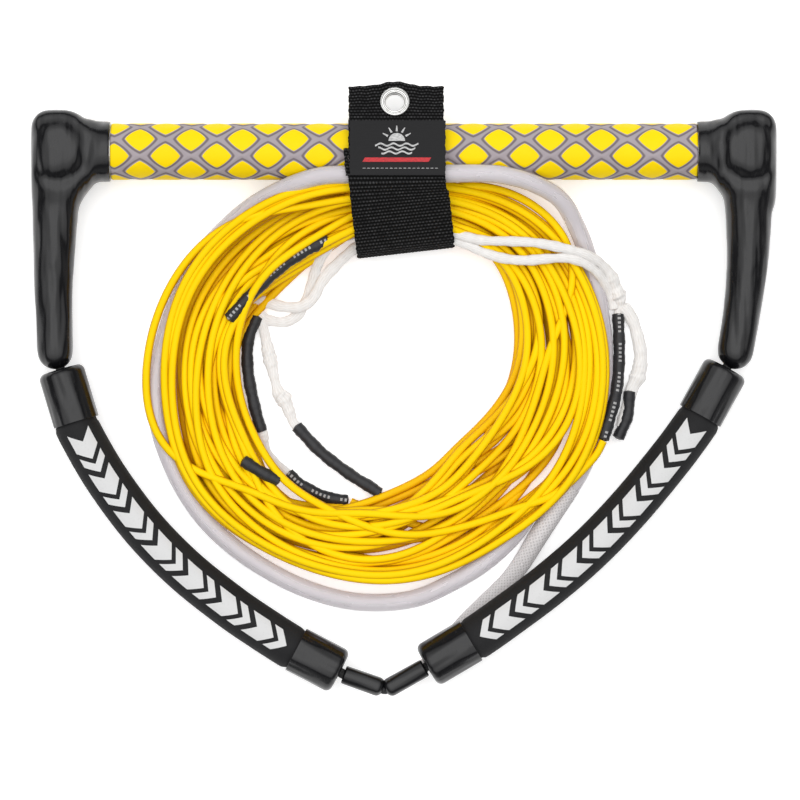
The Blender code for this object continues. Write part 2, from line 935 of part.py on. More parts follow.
def around(values, degrees):
    """A smooth closed reading of values that are given at even angles."""
    count = len(values)
    place = degrees / 360.0 * count
    index = math.floor(place)
    t = place - index
    before, start, end, after = (values[(index + i) % count] for i in (-1, 0, 1, 2))
    return 0.5 * (
        2 * start
        + (end - before) * t
        + (2 * before - 5 * start + 4 * end - after) * t**2
        + (3 * start - before - 3 * end + after) * t**3
    )


def coil_section(degrees):
    """One rounded section of the coil, seen across the rope."""
    inner, outer = around(COIL_INNER, degrees), around(COIL_OUTER, degrees)
    top, bottom = around(COIL_TOP, degrees), max(0.0, around(COIL_BOTTOM, degrees))
    angle = math.radians(degrees)
    made = []
    for step in range(COIL_SIDES):
        turn = 2 * math.pi * (step + 0.5) / COIL_SIDES
        across, rise = math.cos(turn), math.sin(turn)
        across = math.copysign(abs(across) ** (2 / COIL_SQUARENESS), across)
        rise = math.copysign(abs(rise) ** (2 / COIL_SQUARENESS), rise)
        radius = (inner + outer) / 2 + (outer - inner) / 2 * across
        height = (top + bottom) / 2 + (top - bottom) / 2 * rise
        x = COIL_CENTRE[0] + radius * math.cos(angle)
        y = COIL_CENTRE[1] + radius * math.sin(angle)
        made.append(Vector((x, y, height)) * MM)
    return made


def main_line_coil():
    """The coil's outer shape, lofted round its centre: it is squeezed in under the strap."""
    bm = bmesh.new()
    rings = []
    for station in range(COIL_STATIONS):
        section = coil_section(360.0 * station / COIL_STATIONS)
        rings.append([bm.verts.new(co) for co in section])
    for first, second in zip(rings, rings[1:] + rings[:1]):
        for place in range(COIL_SIDES):
            after = (place + 1) % COIL_SIDES
            bm.faces.new((first[place], first[after], second[after], second[place]))
    bmesh.ops.recalc_face_normals(bm, faces=bm.faces)
    return object_from("main_line_coil", bm)


def free_stretch(name):
    diameter, route = CORDS[name]
    points = [co * MM for co in smooth_route(route, CORD_STEP * diameter)]
    return tube(name, points, diameter / 2 * MM)


def leader_braid():
    """The leader is a flat braid: a round tube along its route, pressed flat along Z."""
    points = [co * MM for co in smooth_route(LEADER_ROUTE, CORD_STEP * LEADER_WIDTH / 2)]
    flat = LEADER_THICKNESS / LEADER_WIDTH
    level = [Vector((co.x, co.y, co.z / flat)) for co in points]
    made = meshed(tube("leader_braid", level, LEADER_WIDTH / 2 * MM))
    for vertex in made.data.vertices:
        vertex.co.z *= flat
    return made


# ---------------------------------------------------------------- assembly


def build_handle(home):
    keep(shade(bar_tube()), aluminium(), home)
    keep(shade(grip_sleeve()), grip_foam(), home)
    vinyl, braid, foam = black_vinyl(), bridle_braid(), black_foam()
    for side in SIDES:
        keep(end_plug(side), foam, home)
        keep(shade(arm(side)), vinyl, home)
        keep(arm_rope(side), braid, home)
    return vinyl, braid, foam


def build_bridle(home, vinyl, braid, foam):
    hinge = hinge_empty("bridle_hinge", HINGE_Y, BAR_Z, home)
    for side in SIDES:
        keep(shade(float_foam(side)), foam, home, hinge)
        keep(shade(tip_sleeve(side)), vinyl, home, hinge)
        for level in ("upper", "lower"):
            keep(shade(float_cap(side, level)), vinyl, home, hinge)
    keep(bridle_rope(), braid, home, hinge)


def build_strap(home):
    cloth, metal = webbing(), nickel()
    keep(shade(strap_band()), cloth, home)
    keep(shade(strap_cover()), cloth, home)
    keep(shade(strap_label()), label_satin(), home)
    keep(shade(closure_field("loop_field", LOOP_FIELD)), cloth, home)
    flap_y, flap_z = flap_axis()
    flap_hinge = hinge_empty("flap_hinge", flap_y, flap_z, home)
    keep(shade(strap_flap()), cloth, home, flap_hinge)
    keep(shade(closure_field("hook_field", HOOK_FIELD)), cloth, home, flap_hinge)
    tab_y, tab_z = tab_axis()[0]
    tab_hinge = hinge_empty("tab_hinge", tab_y, tab_z, home)
    keep(shade(strap_tab()), cloth, home, tab_hinge)
    keep(shade(grommet_part("grommet", 1.0)), metal, home, tab_hinge)
    keep(shade(grommet_part("grommet_washer", -1.0)), metal, home, tab_hinge)


def cord_material(name, made):
    for start, mat in made.items():
        if name.startswith(start):
            return mat
    return made["eye"]


def build_rope(home):
    white = white_braid()
    looks = {"handle": clear_jacket(), "sleeve": shrink_sleeve(), "eye": white, "braid": white}
    keep(shade(main_line_coil()), yellow_rope(), home)
    for name in CORDS:
        keep(free_stretch(name), cord_material(name, looks), home)
    keep(shade(leader_braid()), white, home)


def main():
    clear_scene()
    home = collection("tow_rope_handle")
    vinyl, braid, foam = build_handle(home)
    build_bridle(home, vinyl, braid, foam)
    build_strap(home)
    build_rope(home)


main()
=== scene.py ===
"""The looks of a wakeboard tow rope handle, lying flat with its rope coiled and strapped to the bar.

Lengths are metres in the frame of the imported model: +X runs along the bar, +Y points from the
bridle's apex to the bar, and the surface that it lies on is z = 0. Routes and outlines are given
in millimetres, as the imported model's own source gives them.
"""

import math

import bmesh
import bpy
import numpy as np
from mathutils import Matrix, Vector


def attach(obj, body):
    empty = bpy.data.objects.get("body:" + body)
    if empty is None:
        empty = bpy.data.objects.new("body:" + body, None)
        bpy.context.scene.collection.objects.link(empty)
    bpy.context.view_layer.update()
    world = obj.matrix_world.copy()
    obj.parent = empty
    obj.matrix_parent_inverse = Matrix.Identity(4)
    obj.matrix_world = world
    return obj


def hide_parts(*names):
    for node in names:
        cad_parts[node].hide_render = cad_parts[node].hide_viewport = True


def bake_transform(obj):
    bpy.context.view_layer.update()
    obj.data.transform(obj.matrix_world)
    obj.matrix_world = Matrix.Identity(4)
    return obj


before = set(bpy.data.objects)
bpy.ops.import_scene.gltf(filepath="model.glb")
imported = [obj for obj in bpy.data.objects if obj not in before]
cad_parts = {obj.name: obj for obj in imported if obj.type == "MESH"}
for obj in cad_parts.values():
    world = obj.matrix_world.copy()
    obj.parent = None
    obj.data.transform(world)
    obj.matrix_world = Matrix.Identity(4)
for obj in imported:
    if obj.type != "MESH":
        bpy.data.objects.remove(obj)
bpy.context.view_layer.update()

MM = 0.001
UP = np.array((0.0, 0.0, 1.0))
SEED = 7

# Bar, grip and arms
BAR_Y = 122.1
BAR_Z = 16.0
GRIP_RADIUS = 14.5
GRIP_ENDS = (-150.1, 150.3)
DIAMOND_PITCH = 26.2
DIAMOND_ROWS = 5
DIAMOND_HALF = (7.4, 6.45)
DIAMOND_POWER = 1.25
# One diamond's centre: x, and degrees round the bar from +Y
DIAMOND_CENTRE = (-134.8, 66.0)
LEG_STATIONS = {
    "left": (
        (-178.3, 108.0, 12.5),
        (-179.0, 88.0, 11.3),
        (-179.5, 70.6, 10.4),
        (-179.9, 52.6, 9.6),
        (-179.4, 36.0, 9.1),
        (-179.0, 19.4, 9.0),
    ),
    "right": (
        (176.2, 108.0, 12.6),
        (177.0, 88.0, 11.5),
        (176.6, 68.0, 10.5),
        (175.4, 54.0, 9.8),
        (173.2, 36.7, 9.2),
        (170.2, 19.4, 9.0),
    ),
}
SIDES = {"left": -1.0, "right": 1.0}
COLLAR_RADIUS = 15.2
COLLAR_ENDS = (150.6, 162.0)
HEAD_SPHERES = (
    # distance from the middle plane, y, height off the bar's axis, radius
    (181.6, 134.0, 7.0, 9.0),
    (173.4, 134.4, 7.6, 8.4),
    (181.4, 112.0, 7.0, 9.0),
    (178.8, 98.0, 0.0, 12.0),
)
HEAD_RING_X = 158.8
HEAD_RING_RADIUS = 15.7
ROPE_RADIUS = 2.5

# Floats
CAP_RADIUS = 11.95
CAP_EDGE = 3.4
CAP_CLEARANCE = 9.4
FOAM_RADIUS = 11.4
TIP_RADIUS = 4.9
FLOATS = {
    "left": {
        "dome": (-179.0, 19.4),
        "upper_cap_end": (-168.1, -16.7),
        "curve": ((-153.0, -45.2), (-134.0, -70.8), (-112.7, -92.6), (-89.3, -111.3), (-72.9, -122.6)),
        "lower_cap_start": (-55.4, -133.3),
        "lower_cap_end": (-32.8, -145.1),
        "tip": ((-30.9, -146.3), (-12.4, -152.8)),
    },
    "right": {
        "dome": (170.2, 19.4),
        "upper_cap_end": (152.1, -13.6),
        "curve": ((137.1, -35.1), (116.5, -60.1), (95.9, -81.6), (74.2, -100.4), (51.1, -117.6)),
        "lower_cap_start": (34.5, -128.8),
        "lower_cap_end": (11.9, -142.2),
        "tip": ((10.9, -142.8), (-7.8, -153.3)),
    },
}
APEX = (-10.1, -154.0)

# Strap: the circles that it wraps, as (y, z, radius)
STRAP_WRAPS = (
    (122.1, 16.0, 14.8),
    (110.0, 31.4, 4.95),
    (84.3, 11.2, 10.0),
    (136.2, 29.4, 0.0),
)
STRAP_X = (-28.2, 20.4)
STRAP_SLANT = math.tan(math.radians(6.5))
STRAP_SLANT_Y = 108.0
STRAP_SLANT_RAMP = 15.0
FLAP_ROOT_ANGLE = 104.0
FLAP_END_ANGLE = 193.0
TAB_LENGTH = 18.8
TAB_SETBACK = 2.6
TAB_MIDDLE = 1.5
GROMMET_X = -4.6
GROMMET_REACH = 7.6
GROMMET_HOLE = 4.7
GROMMET_RADIUS = 7.7
RIB_PITCH = 1.83
YARN_PITCH = 1.7

# Coil: radii from its centre every 15 degrees from +X
COIL_CENTRE = (-12.2, 6.9)
COIL_INNER = (
    66.5, 71.5, 77.0, 82.0, 81.0, 79.0, 76.0, 69.0, 66.0, 66.0, 68.0, 72.5,
    72.5, 71.5, 71.5, 74.0, 73.0, 66.5, 60.0, 55.5, 54.0, 51.0, 54.0, 59.5,
)
COIL_OUTER = (
    118.0, 119.0, 118.0, 117.5, 110.5, 103.0, 99.0, 103.5, 107.0, 110.5, 113.5, 113.5,
    113.0, 114.5, 116.0, 111.5, 108.0, 106.5, 107.3, 107.5, 106.0, 108.5, 115.0, 117.5,
)
COIL_CEILING = (15.0, 15.5, 18.0, 22.0, 27.0, 17.0, 15.0, 15.0, 15.0, 15.0, 15.0, 15.0)
COIL_FLOOR = (0.0, 0.0, 1.9, 1.9, 1.9, 0.0, 0.0, 0.0, 0.0, 0.0, 0.0, 0.0)
# How much of a full diameter each strand rises where it lies over another
STACKING = 0.62
MAIN_DIAMETER = 4.2
MAIN_TURNS = 31
MAIN_START = (-27.5, -57.8, 3.5)
MAIN_END = (102.6, -26.4, 11.0)
COIL_STATIONS = 120

# Other free rope: route points in millimetres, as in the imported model's source
JACKET = 9.2
LOOP = 4.6
SLEEVE = 6.2
LEADER_WIDTH = 9.4
LEADER_THICKNESS = 3.3


# ---------------------------------------------------------------- camera, light and floor

VIEW_WIDTH = 410.8 * MM
VIEW_CENTRE = (-1.95 * MM, -5.4 * MM)
LENS = 200.0
SENSOR = 36.0


def camera():
    made = bpy.data.cameras.new("camera")
    made.lens = LENS
    made.sensor_width = SENSOR
    distance = VIEW_WIDTH * LENS / SENSOR
    made.clip_start = 0.1
    made.clip_end = 50.0
    obj = bpy.data.objects.new("camera", made)
    obj.location = (*VIEW_CENTRE, BAR_Z * MM + distance)
    bpy.context.scene.collection.objects.link(obj)
    bpy.context.scene.camera = obj


def studio():
    """A soft overhead sky that darkens towards the horizon, like a light tent."""
    world = bpy.data.worlds.new("studio")
    bpy.context.scene.world = world
    world.use_nodes = True
    nodes, links = world.node_tree.nodes, world.node_tree.links
    place = nodes.new("ShaderNodeTexCoord")
    tilt = nodes.new("ShaderNodeVectorMath")
    tilt.operation = "DOT_PRODUCT"
    tilt.inputs[1].default_value = (-0.05, 0.16, 0.985)
    ramp = nodes.new("ShaderNodeValToRGB")
    ramp.color_ramp.interpolation = "EASE"
    stops = ramp.color_ramp.elements
    stops[0].position, stops[0].color = 0.44, (0.04, 0.04, 0.04, 1.0)
    stops[1].position, stops[1].color = 0.97, (1.0, 1.0, 1.0, 1.0)
    for place_on_ramp, grey in ((0.02, 0.21), (0.60, 0.45), (0.80, 0.60)):
        stops.new(place_on_ramp).color = (grey, grey, grey, 1.0)
    back = nodes["Background"]
    back.inputs["Strength"].default_value = 2.3
    links.new(place.outputs["Generated"], tilt.inputs[0])
    links.new(tilt.outputs["Value"], ramp.inputs["Fac"])
    links.new(ramp.outputs["Color"], back.inputs["Color"])
    bpy.context.scene.view_settings.view_transform = "Standard"
    bpy.context.scene.view_settings.look = "None"


def floor():
    mesh = bpy.data.meshes.new("floor")
    size = 4.0
    mesh.from_pydata([(-size, -size, 0), (size, -size, 0), (size, size, 0), (-size, size, 0)], [], [(0, 1, 2, 3)])
    obj = bpy.data.objects.new("floor", mesh)
    obj.location.z = -0.0003
    bpy.context.scene.collection.objects.link(obj)
    paper = Look("floor_paper", (0.93, 0.93, 0.93), 0.9)
    paper.bump(paper.noise(220.0, 3.0), 0.05, 0.0004)
    paper.set("Emission Color", (1.0, 1.0, 1.0, 1.0))
    paper.set("Emission Strength", 0.38)
    obj.data.materials.append(paper.material)


# ---------------------------------------------------------------- materials


class Look:
    """A node material in the making: each call adds a node and gives back its output socket."""

    def __init__(self, name, colour, roughness, metallic=0.0):
        self.material = bpy.data.materials.new(name)
        self.material.use_nodes = True
        self.tree = self.material.node_tree
        self.shader = self.tree.nodes["Principled BSDF"]
        self.set("Base Color", (*colour, 1.0))
        self.set("Roughness", roughness)
        self.set("Metallic", metallic)

    def set(self, socket, value):
        """A number or colour is set on the socket; anything else is linked to it."""
        if isinstance(value, bpy.types.NodeSocket):
            self.tree.links.new(value, self.shader.inputs[socket])
        else:
            self.shader.inputs[socket].default_value = value

    def feed(self, node, place, value):
        if isinstance(value, bpy.types.NodeSocket):
            self.tree.links.new(value, node.inputs[place])
        elif value is not None:
            node.inputs[place].default_value = value

    def place(self, kind="Object"):
        return self.tree.nodes.new("ShaderNodeTexCoord").outputs[kind]

    def stretched(self, vector, scale):
        node = self.tree.nodes.new("ShaderNodeMapping")
        self.feed(node, "Vector", vector)
        node.inputs["Scale"].default_value = scale
        return node.outputs["Vector"]

    def noise(self, scale, detail=2.0, vector=None, rough=0.5):
        node = self.tree.nodes.new("ShaderNodeTexNoise")
        self.feed(node, "Vector", self.place() if vector is None else vector)
        node.inputs["Scale"].default_value = scale
        node.inputs["Detail"].default_value = detail
        node.inputs["Roughness"].default_value = rough
        return node.outputs["Fac"]

    def math(self, operation, first, second=None, third=None):
        node = self.tree.nodes.new("ShaderNodeMath")
        node.operation = operation
        for place, value in enumerate((first, second, third)):
            self.feed(node, place, value)
        return node.outputs["Value"]

    def ramp(self, value, low, high, to_low=0.0, to_high=1.0):
        """value from low..high carried smoothly to to_low..to_high."""
        node = self.tree.nodes.new("ShaderNodeMapRange")
        node.interpolation_type = "SMOOTHSTEP"
        for place, number in enumerate((value, low, high, to_low, to_high)):
            self.feed(node, place, number)
        return node.outputs["Result"]

    def mix(self, factor, first, second):
        node = self.tree.nodes.new("ShaderNodeMix")
        node.data_type = "RGBA"
        self.feed(node, "Factor", factor)
        for place, colour in ((6, first), (7, second)):
            self.feed(node, place, (*colour, 1.0) if isinstance(colour, tuple) else colour)
        return node.outputs[2]

    def split(self, vector):
        node = self.tree.nodes.new("ShaderNodeSeparateXYZ")
        self.feed(node, 0, vector)
        return node.outputs

    def bump(self, height, strength, distance, after=None):
        node = self.tree.nodes.new("ShaderNodeBump")
        node.inputs["Strength"].default_value = strength
        node.inputs["Distance"].default_value = distance
        self.feed(node, "Height", height)
        self.feed(node, "Normal", after)
        self.set("Normal", node.outputs["Normal"])
        return node.outputs["Normal"]

    def wave(self, value, pitch, phase=0.0):
        """A sine of value with that pitch, from 0 to 1."""
        turned = self.math("MULTIPLY_ADD", value, 2 * math.pi / pitch, phase)
        return self.math("MULTIPLY_ADD", self.math("SINE", turned), 0.5, 0.5)


def black_vinyl(name="black_vinyl", across="Object", runs_scale=(170.0, 30.0, 55.0), depth=0.0024):
    """Dipped vinyl: deep gloss over slow runs and ripples, with fine scuffs in the gloss."""
    look = Look(name, (0.006, 0.006, 0.007), 0.14)
    look.set("Specular IOR Level", 0.42)
    runs = look.noise(1.0, 1.0, look.stretched(look.place(across), runs_scale), 0.4)
    dents = look.noise(85.0, 1.0)
    first = look.bump(runs, 0.75, depth)
    second = look.bump(dents, 0.35, 0.0012, first)
    look.bump(look.noise(900.0, 2.0), 0.05, 0.0002, second)
    scuffs = look.noise(1.0, 4.0, look.stretched(look.place(), (900.0, 160.0, 300.0)), 0.7)
    look.set("Roughness", look.ramp(scuffs, 0.45, 0.78, 0.17, 0.34))
    dust = look.ramp(look.noise(260.0, 5.0, rough=0.7), 0.60, 0.80)
    look.set("Base Color", look.mix(dust, (0.005, 0.005, 0.006), (0.020, 0.020, 0.021)))
    return look.material


def float_foam_look(length):
    """Closed-cell foam with white chevrons printed in a row along its upper side."""
    look = Look("float_foam", (0.016, 0.016, 0.017), 0.7)
    look.set("Specular IOR Level", 0.15)
    cells = look.noise(1500.0, 2.0)
    first = look.bump(look.noise(130.0, 3.0), 0.22, 0.0006)
    look.bump(cells, 0.25, 0.0002, first)
    uv = look.split(look.place("UV"))
    across = look.math("MULTIPLY", look.math("SUBTRACT", uv[0], 0.25), 2 * math.pi * FOAM_RADIUS * MM)
    along = uv[1]
    in_band = look.math("LESS_THAN", look.math("ABSOLUTE", across), 0.0064)
    slant = look.math("MULTIPLY_ADD", look.math("ABSOLUTE", across), 0.95, along)
    pitch = (length - 0.012) / round((length - 0.012) / 0.0235)
    part = look.math("FRACT", look.math("DIVIDE", look.math("SUBTRACT", slant, 0.010), pitch))
    wide = look.math("MULTIPLY", look.math("GREATER_THAN", part, 0.04), look.math("LESS_THAN", part, 0.50))
    narrow = look.math("MULTIPLY", look.math("GREATER_THAN", part, 0.64), look.math("LESS_THAN", part, 0.86))
    blocks = look.math("ADD", wide, narrow)
    start = look.math("GREATER_THAN", slant, 0.010)
    inside = look.math("MULTIPLY", start, look.math("LESS_THAN", slant, length - 0.002))
    mark = look.math("MULTIPLY", look.math("MULTIPLY", in_band, blocks), inside)
    worn = look.ramp(look.noise(900.0, 4.0, rough=0.7), 0.30, 0.44)
    mark = look.math("MULTIPLY", mark, look.math("MULTIPLY_ADD", worn, 0.10, 0.90))
    dark = look.mix(look.noise(90.0, 4.0), (0.012, 0.012, 0.013), (0.022, 0.022, 0.023))
    look.set("Base Color", look.mix(mark, dark, (0.66, 0.66, 0.66)))
    look.set("Roughness", look.ramp(cells, 0.2, 0.8, 0.60, 0.78))
    return look.material


def grip_look():
    """Yellow diamonds on a grey lattice, in two offset rows: painted shade in the groove round each diamond, painted
    highlight on the ridge and the rims.
    """
    look = Look("grip_foam", (0.9, 0.6, 0.0), 0.5)
    uv = look.split(look.place("UV"))

    def reach(shift):
        """How far out of its nearest diamond a point is: 1 at the diamond's edge."""
        total = None
        for value, pitch, half in ((uv[0], DIAMOND_PITCH, DIAMOND_HALF[0]), (uv[1], grip_row_pitch(), DIAMOND_HALF[1])):
            moved = look.math("ADD", value, shift + 0.5)
            off = look.math("ABSOLUTE", look.math("SUBTRACT", look.math("FRACT", moved), 0.5))
            term = look.math("POWER", look.math("MULTIPLY", off, pitch / half), DIAMOND_POWER)
            total = term if total is None else look.math("ADD", total, term)
        return look.math("POWER", total, 1.0 / DIAMOND_POWER)

    near = look.math("MINIMUM", reach(0.0), reach(0.5))
    grime = look.noise(60.0, 4.0, rough=0.6)
    yellow = look.mix(grime, (0.98, 0.72, 0.0), (0.95, 0.66, 0.0))
    # Painted light on the grey: dark is painted shade in the groove round each diamond, light is a painted highlight on
    # the ridge and on the rim at each diamond's edge
    light = look.mix(grime, (0.42, 0.37, 0.395), (0.33, 0.29, 0.31))
    dark = look.mix(grime, (0.20, 0.165, 0.178), (0.15, 0.125, 0.135))
    grey = look.mix(look.ramp(near, 1.17, 1.32), dark, light)
    rim = look.mix(look.ramp(near, 1.03, 1.11), light, grey)
    look.set("Base Color", look.mix(look.ramp(near, 0.985, 1.015), yellow, rim))
    grain = look.noise(1100.0, 2.0)
    first = look.bump(look.noise(240.0, 2.0), 0.10, 0.0004)
    look.bump(grain, 0.16, 0.0002, first)
    look.set("Roughness", look.ramp(grain, 0.2, 0.8, 0.42, 0.60))
    look.set("Specular IOR Level", 0.14)
    return look.material


def webbing_look():
    """Ribbed webbing: the yarns cross each rib, with a painted highlight on each crest and painted shade between the
    ribs.
    """
    look = Look("webbing", (0.004, 0.004, 0.004), 0.8)
    uv = look.split(look.place("UV"))
    across, along = uv[0], uv[1]
    row = look.math("FLOOR", look.math("DIVIDE", along, RIB_PITCH * MM))
    phase = look.math("MULTIPLY", look.math("MODULO", row, 2.0), math.pi)
    turned = look.math("ADD", look.math("MULTIPLY", across, 2 * math.pi / (YARN_PITCH * MM)), phase)
    yarn = look.math("MULTIPLY_ADD", look.math("SINE", turned), 0.5, 0.5)
    rib = look.wave(along, RIB_PITCH * MM, -math.pi / 2)
    height = look.math("MULTIPLY", look.math("POWER", rib, 0.6), look.math("MULTIPLY_ADD", yarn, 0.45, 0.55))
    fibre = look.noise(1.0, 3.0, look.stretched(look.place(), (2600.0, 700.0, 700.0)))
    first = look.bump(height, 0.8, 0.0005)
    look.bump(fibre, 0.35, 0.00012, first)
    fuzz = look.ramp(look.noise(420.0, 5.0, rough=0.7), 0.38, 0.66)
    # Painted light: lit is lighter on the crests of ribs and yarns and darker in the grooves between them; fuzz breaks
    # it up at random
    lit = look.math("MULTIPLY", look.ramp(height, 0.40, 0.95), look.math("MULTIPLY_ADD", fuzz, 0.65, 0.35))
    look.set("Base Color", look.mix(lit, (0.0025, 0.0025, 0.0026), (0.062, 0.062, 0.064)))
    look.set("Roughness", look.ramp(fibre, 0.2, 0.8, 0.62, 0.86))
    look.set("Specular IOR Level", 0.10)
    return look.material


def satin():
    look = Look("label_satin", (0.020, 0.020, 0.022), 0.45)
    threads = look.noise(1.0, 2.0, look.stretched(look.place(), (420.0, 5200.0, 5200.0)))
    first = look.bump(look.noise(110.0, 2.0), 0.25, 0.0008)
    look.bump(threads, 0.25, 0.00008, first)
    look.set("Base Color", look.mix(threads, (0.007, 0.007, 0.008), (0.018, 0.018, 0.019)))
    look.set("Roughness", look.ramp(threads, 0.2, 0.8, 0.40, 0.60))
    look.set("Specular IOR Level", 0.16)
    return look.material


def thread_look(name, colour, shade):
    """Embroidery and stitching thread: short parallel yarns with a soft shine."""
    look = Look(name, colour, 0.45)
    yarns = look.noise(1.0, 2.0, look.stretched(look.place(), (700.0, 6000.0, 6000.0)))
    look.bump(yarns, 0.5, 0.00012)
    look.set("Base Color", look.mix(look.ramp(yarns, 0.35, 0.6), shade, colour))
    look.set("Roughness", look.ramp(yarns, 0.2, 0.8, 0.38, 0.6))
    look.set("Sheen Weight", 0.2)
    return look.material


def nickel():
    look = Look("nickel", (0.80, 0.79, 0.76), 0.2, 1.0)
    scratches = look.noise(1.0, 4.0, look.stretched(look.place(), (3000.0, 900.0, 3000.0)), 0.7)
    look.set("Roughness", look.ramp(scratches, 0.35, 0.75, 0.13, 0.34))
    tarnish = look.ramp(look.noise(420.0, 4.0), 0.5, 0.8)
    look.set("Base Color", look.mix(tarnish, (0.66, 0.66, 0.65), (0.48, 0.47, 0.45)))
    look.bump(scratches, 0.04, 0.0001)
    return look.material


def brushed_aluminium():
    look = Look("bar_aluminium", (0.80, 0.80, 0.82), 0.3, 1.0)
    lines = look.noise(1.0, 3.0, look.stretched(look.place(), (60.0, 4200.0, 4200.0)))
    look.set("Roughness", look.ramp(lines, 0.3, 0.7, 0.24, 0.42))
    look.set("Base Color", look.mix(lines, (0.74, 0.74, 0.76), (0.86, 0.86, 0.88)))
    look.bump(lines, 0.1, 0.0001)
    return look.material


def yellow_rope():
    """Tight braid of yellow filaments, nearly smooth: bright yellow on top, with painted shade in a deeper
    colour down its sides and on the strands that lie low in the coil."""
    look = Look("yellow_rope", (1.0, 0.6, 0.0), 0.5)
    uv = look.split(look.place("UV"))
    left = look.math("MULTIPLY_ADD", uv[1], 0.5, uv[0])
    right = look.math("MULTIPLY_ADD", uv[1], -0.5, uv[0])
    braid = look.math("MULTIPLY", look.wave(left, 0.125), look.wave(right, 0.125))
    filaments = look.noise(1.0, 3.0, look.stretched(look.place("UV"), (60.0, 9.0, 1.0)))
    first = look.bump(braid, 0.10, 0.00020)
    look.bump(filaments, 0.12, 0.00012, first)
    # Painted shade: side darkens the rope down its sides, low darkens the strands near the floor, and deep is the
    # shaded colour
    off_top = look.math("ABSOLUTE", look.math("SUBTRACT", uv[0], 0.25))
    side = look.ramp(off_top, 0.10, 0.21)
    low = look.ramp(look.split(look.place())[2], 0.0125, 0.003)
    slow = look.noise(28.0, 3.0)
    bright = look.mix(slow, (0.99, 0.70, 0.0), (0.95, 0.60, 0.0))
    deep = look.mix(slow, (0.80, 0.38, 0.004), (0.70, 0.30, 0.004))
    shade = look.math("MULTIPLY", side, 0.80)
    # Painted shade: low strands turn to the deep colour, then the sides to dark orange
    body = look.mix(look.math("MULTIPLY", low, 0.60), bright, deep)
    look.set("Base Color", look.mix(shade, body, (0.58, 0.22, 0.004)))
    look.set("Roughness", look.ramp(filaments, 0.25, 0.75, 0.42, 0.62))
    look.set("Specular IOR Level", 0.10)
    return look.material


def clear_tube():
    """Milky clear tube that lets the braid inside it show as a soft streak."""
    look = Look("clear_jacket", (0.7, 0.65, 0.7), 0.3)
    look.set("Transmission Weight", 0.40)
    look.set("IOR", 1.40)
    clouds = look.noise(1.0, 3.0, look.stretched(look.place("UV"), (6.0, 0.7, 1.0)))
    look.set("Base Color", look.mix(clouds, (0.78, 0.73, 0.775), (0.92, 0.89, 0.91)))
    look.set("Roughness", look.ramp(clouds, 0.3, 0.7, 0.20, 0.36))
    look.bump(clouds, 0.12, 0.0005)
    look.set("Specular IOR Level", 0.3)
    return look.material


def white_braid(name="white_braid", colour=(0.88, 0.86, 0.84), shade=(0.64, 0.59, 0.54), yarns=13.0, lay=0.12, gap=0.30):
    """Soft white braid: fine yarns that cross at a long angle, with painted shade in the gaps between them."""
    look = Look(name, colour, 0.62)
    uv = look.split(look.place("UV"))
    left = look.math("MULTIPLY_ADD", uv[1], lay, uv[0])
    right = look.math("MULTIPLY_ADD", uv[1], -lay, uv[0])
    braid = look.math("MAXIMUM", look.wave(left, 1.0 / yarns), look.wave(right, 1.0 / yarns))
    fibres = look.noise(1.0, 3.0, look.stretched(look.place("UV"), (90.0, 5.0, 1.0)))
    first = look.bump(braid, 0.35, 0.00022)
    look.bump(fibres, 0.40, 0.00016, first)
    # Painted shade: the gaps between the yarns take on the shade colour
    gaps = look.math("MULTIPLY", look.ramp(braid, 0.85, 0.25), gap)
    body = look.mix(look.ramp(fibres, 0.35, 0.65), tuple(c * 0.84 for c in colour), colour)
    look.set("Base Color", look.mix(gaps, body, shade))
    look.set("Roughness", look.ramp(fibres, 0.2, 0.8, 0.5, 0.75))
    look.set("Specular IOR Level", 0.3)
    return look.material


def black_braid():
    return white_braid("black_braid", (0.030, 0.030, 0.031), (0.005, 0.005, 0.005), 6.0, 0.8, 0.8)


def shrink_sleeve(name="shrink_sleeve", marked=False):
    """Shrunk tubing: satin black, faintly ridged by the braid under it. The marked kind carries a
    row of plain light dashes."""
    look = Look(name, (0.014, 0.014, 0.016), 0.4)
    under = look.noise(1.0, 2.0, look.stretched(look.place("UV"), (7.0, 3.0, 1.0)))
    grain = look.noise(1600.0, 2.0)
    first = look.bump(under, 0.40, 0.0006)
    look.bump(grain, 0.15, 0.00012, first)
    black = look.mix(under, (0.011, 0.011, 0.013), (0.030, 0.030, 0.033))
    if marked:
        uv = look.split(look.place("UV"))
        place = look.math("DIVIDE", uv[1], 0.115)
        part = look.math("FRACT", place)
        group = look.math("LESS_THAN", look.math("FRACT", look.math("DIVIDE", place, 7.0)), 0.70)
        dash = look.math("MULTIPLY", look.math("LESS_THAN", part, 0.5), group)
        across = look.math("LESS_THAN", look.math("ABSOLUTE", look.math("SUBTRACT", uv[0], 0.27)), 0.040)
        black = look.mix(look.math("MULTIPLY", look.math("MULTIPLY", dash, across), 0.85), black, (0.42, 0.42, 0.42))
    look.set("Base Color", black)
    look.set("Roughness", look.ramp(grain, 0.2, 0.8, 0.36, 0.52))
    look.set("Specular IOR Level", 0.35)
    return look.material


def fastener_look(name, colour, scale):
    """The fuzzy or hooked face of a hook and loop closure."""
    look = Look(name, colour, 0.9)
    pile = look.noise(scale, 3.0, rough=0.7)
    look.bump(pile, 1.0, 0.0005)
    look.set("Base Color", look.mix(pile, tuple(c * 0.4 for c in colour), tuple(c * 2.2 for c in colour)))
    look.set("Sheen Weight", 0.4)
    look.set("Roughness", look.ramp(pile, 0.3, 0.7, 0.8, 0.95))
    return look.material


# ---------------------------------------------------------------- mesh helpers


def add(name, mesh, material, body=None, nodes=()):
    """Links a mesh as a piece: its material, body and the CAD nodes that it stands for."""
    obj = bpy.data.objects.new(name, mesh)
    bpy.context.scene.collection.objects.link(obj)
    mesh.materials.clear()
    mesh.materials.append(material)
    if body is not None:
        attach(obj, body)
    if nodes:
        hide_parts(*nodes)
    return obj


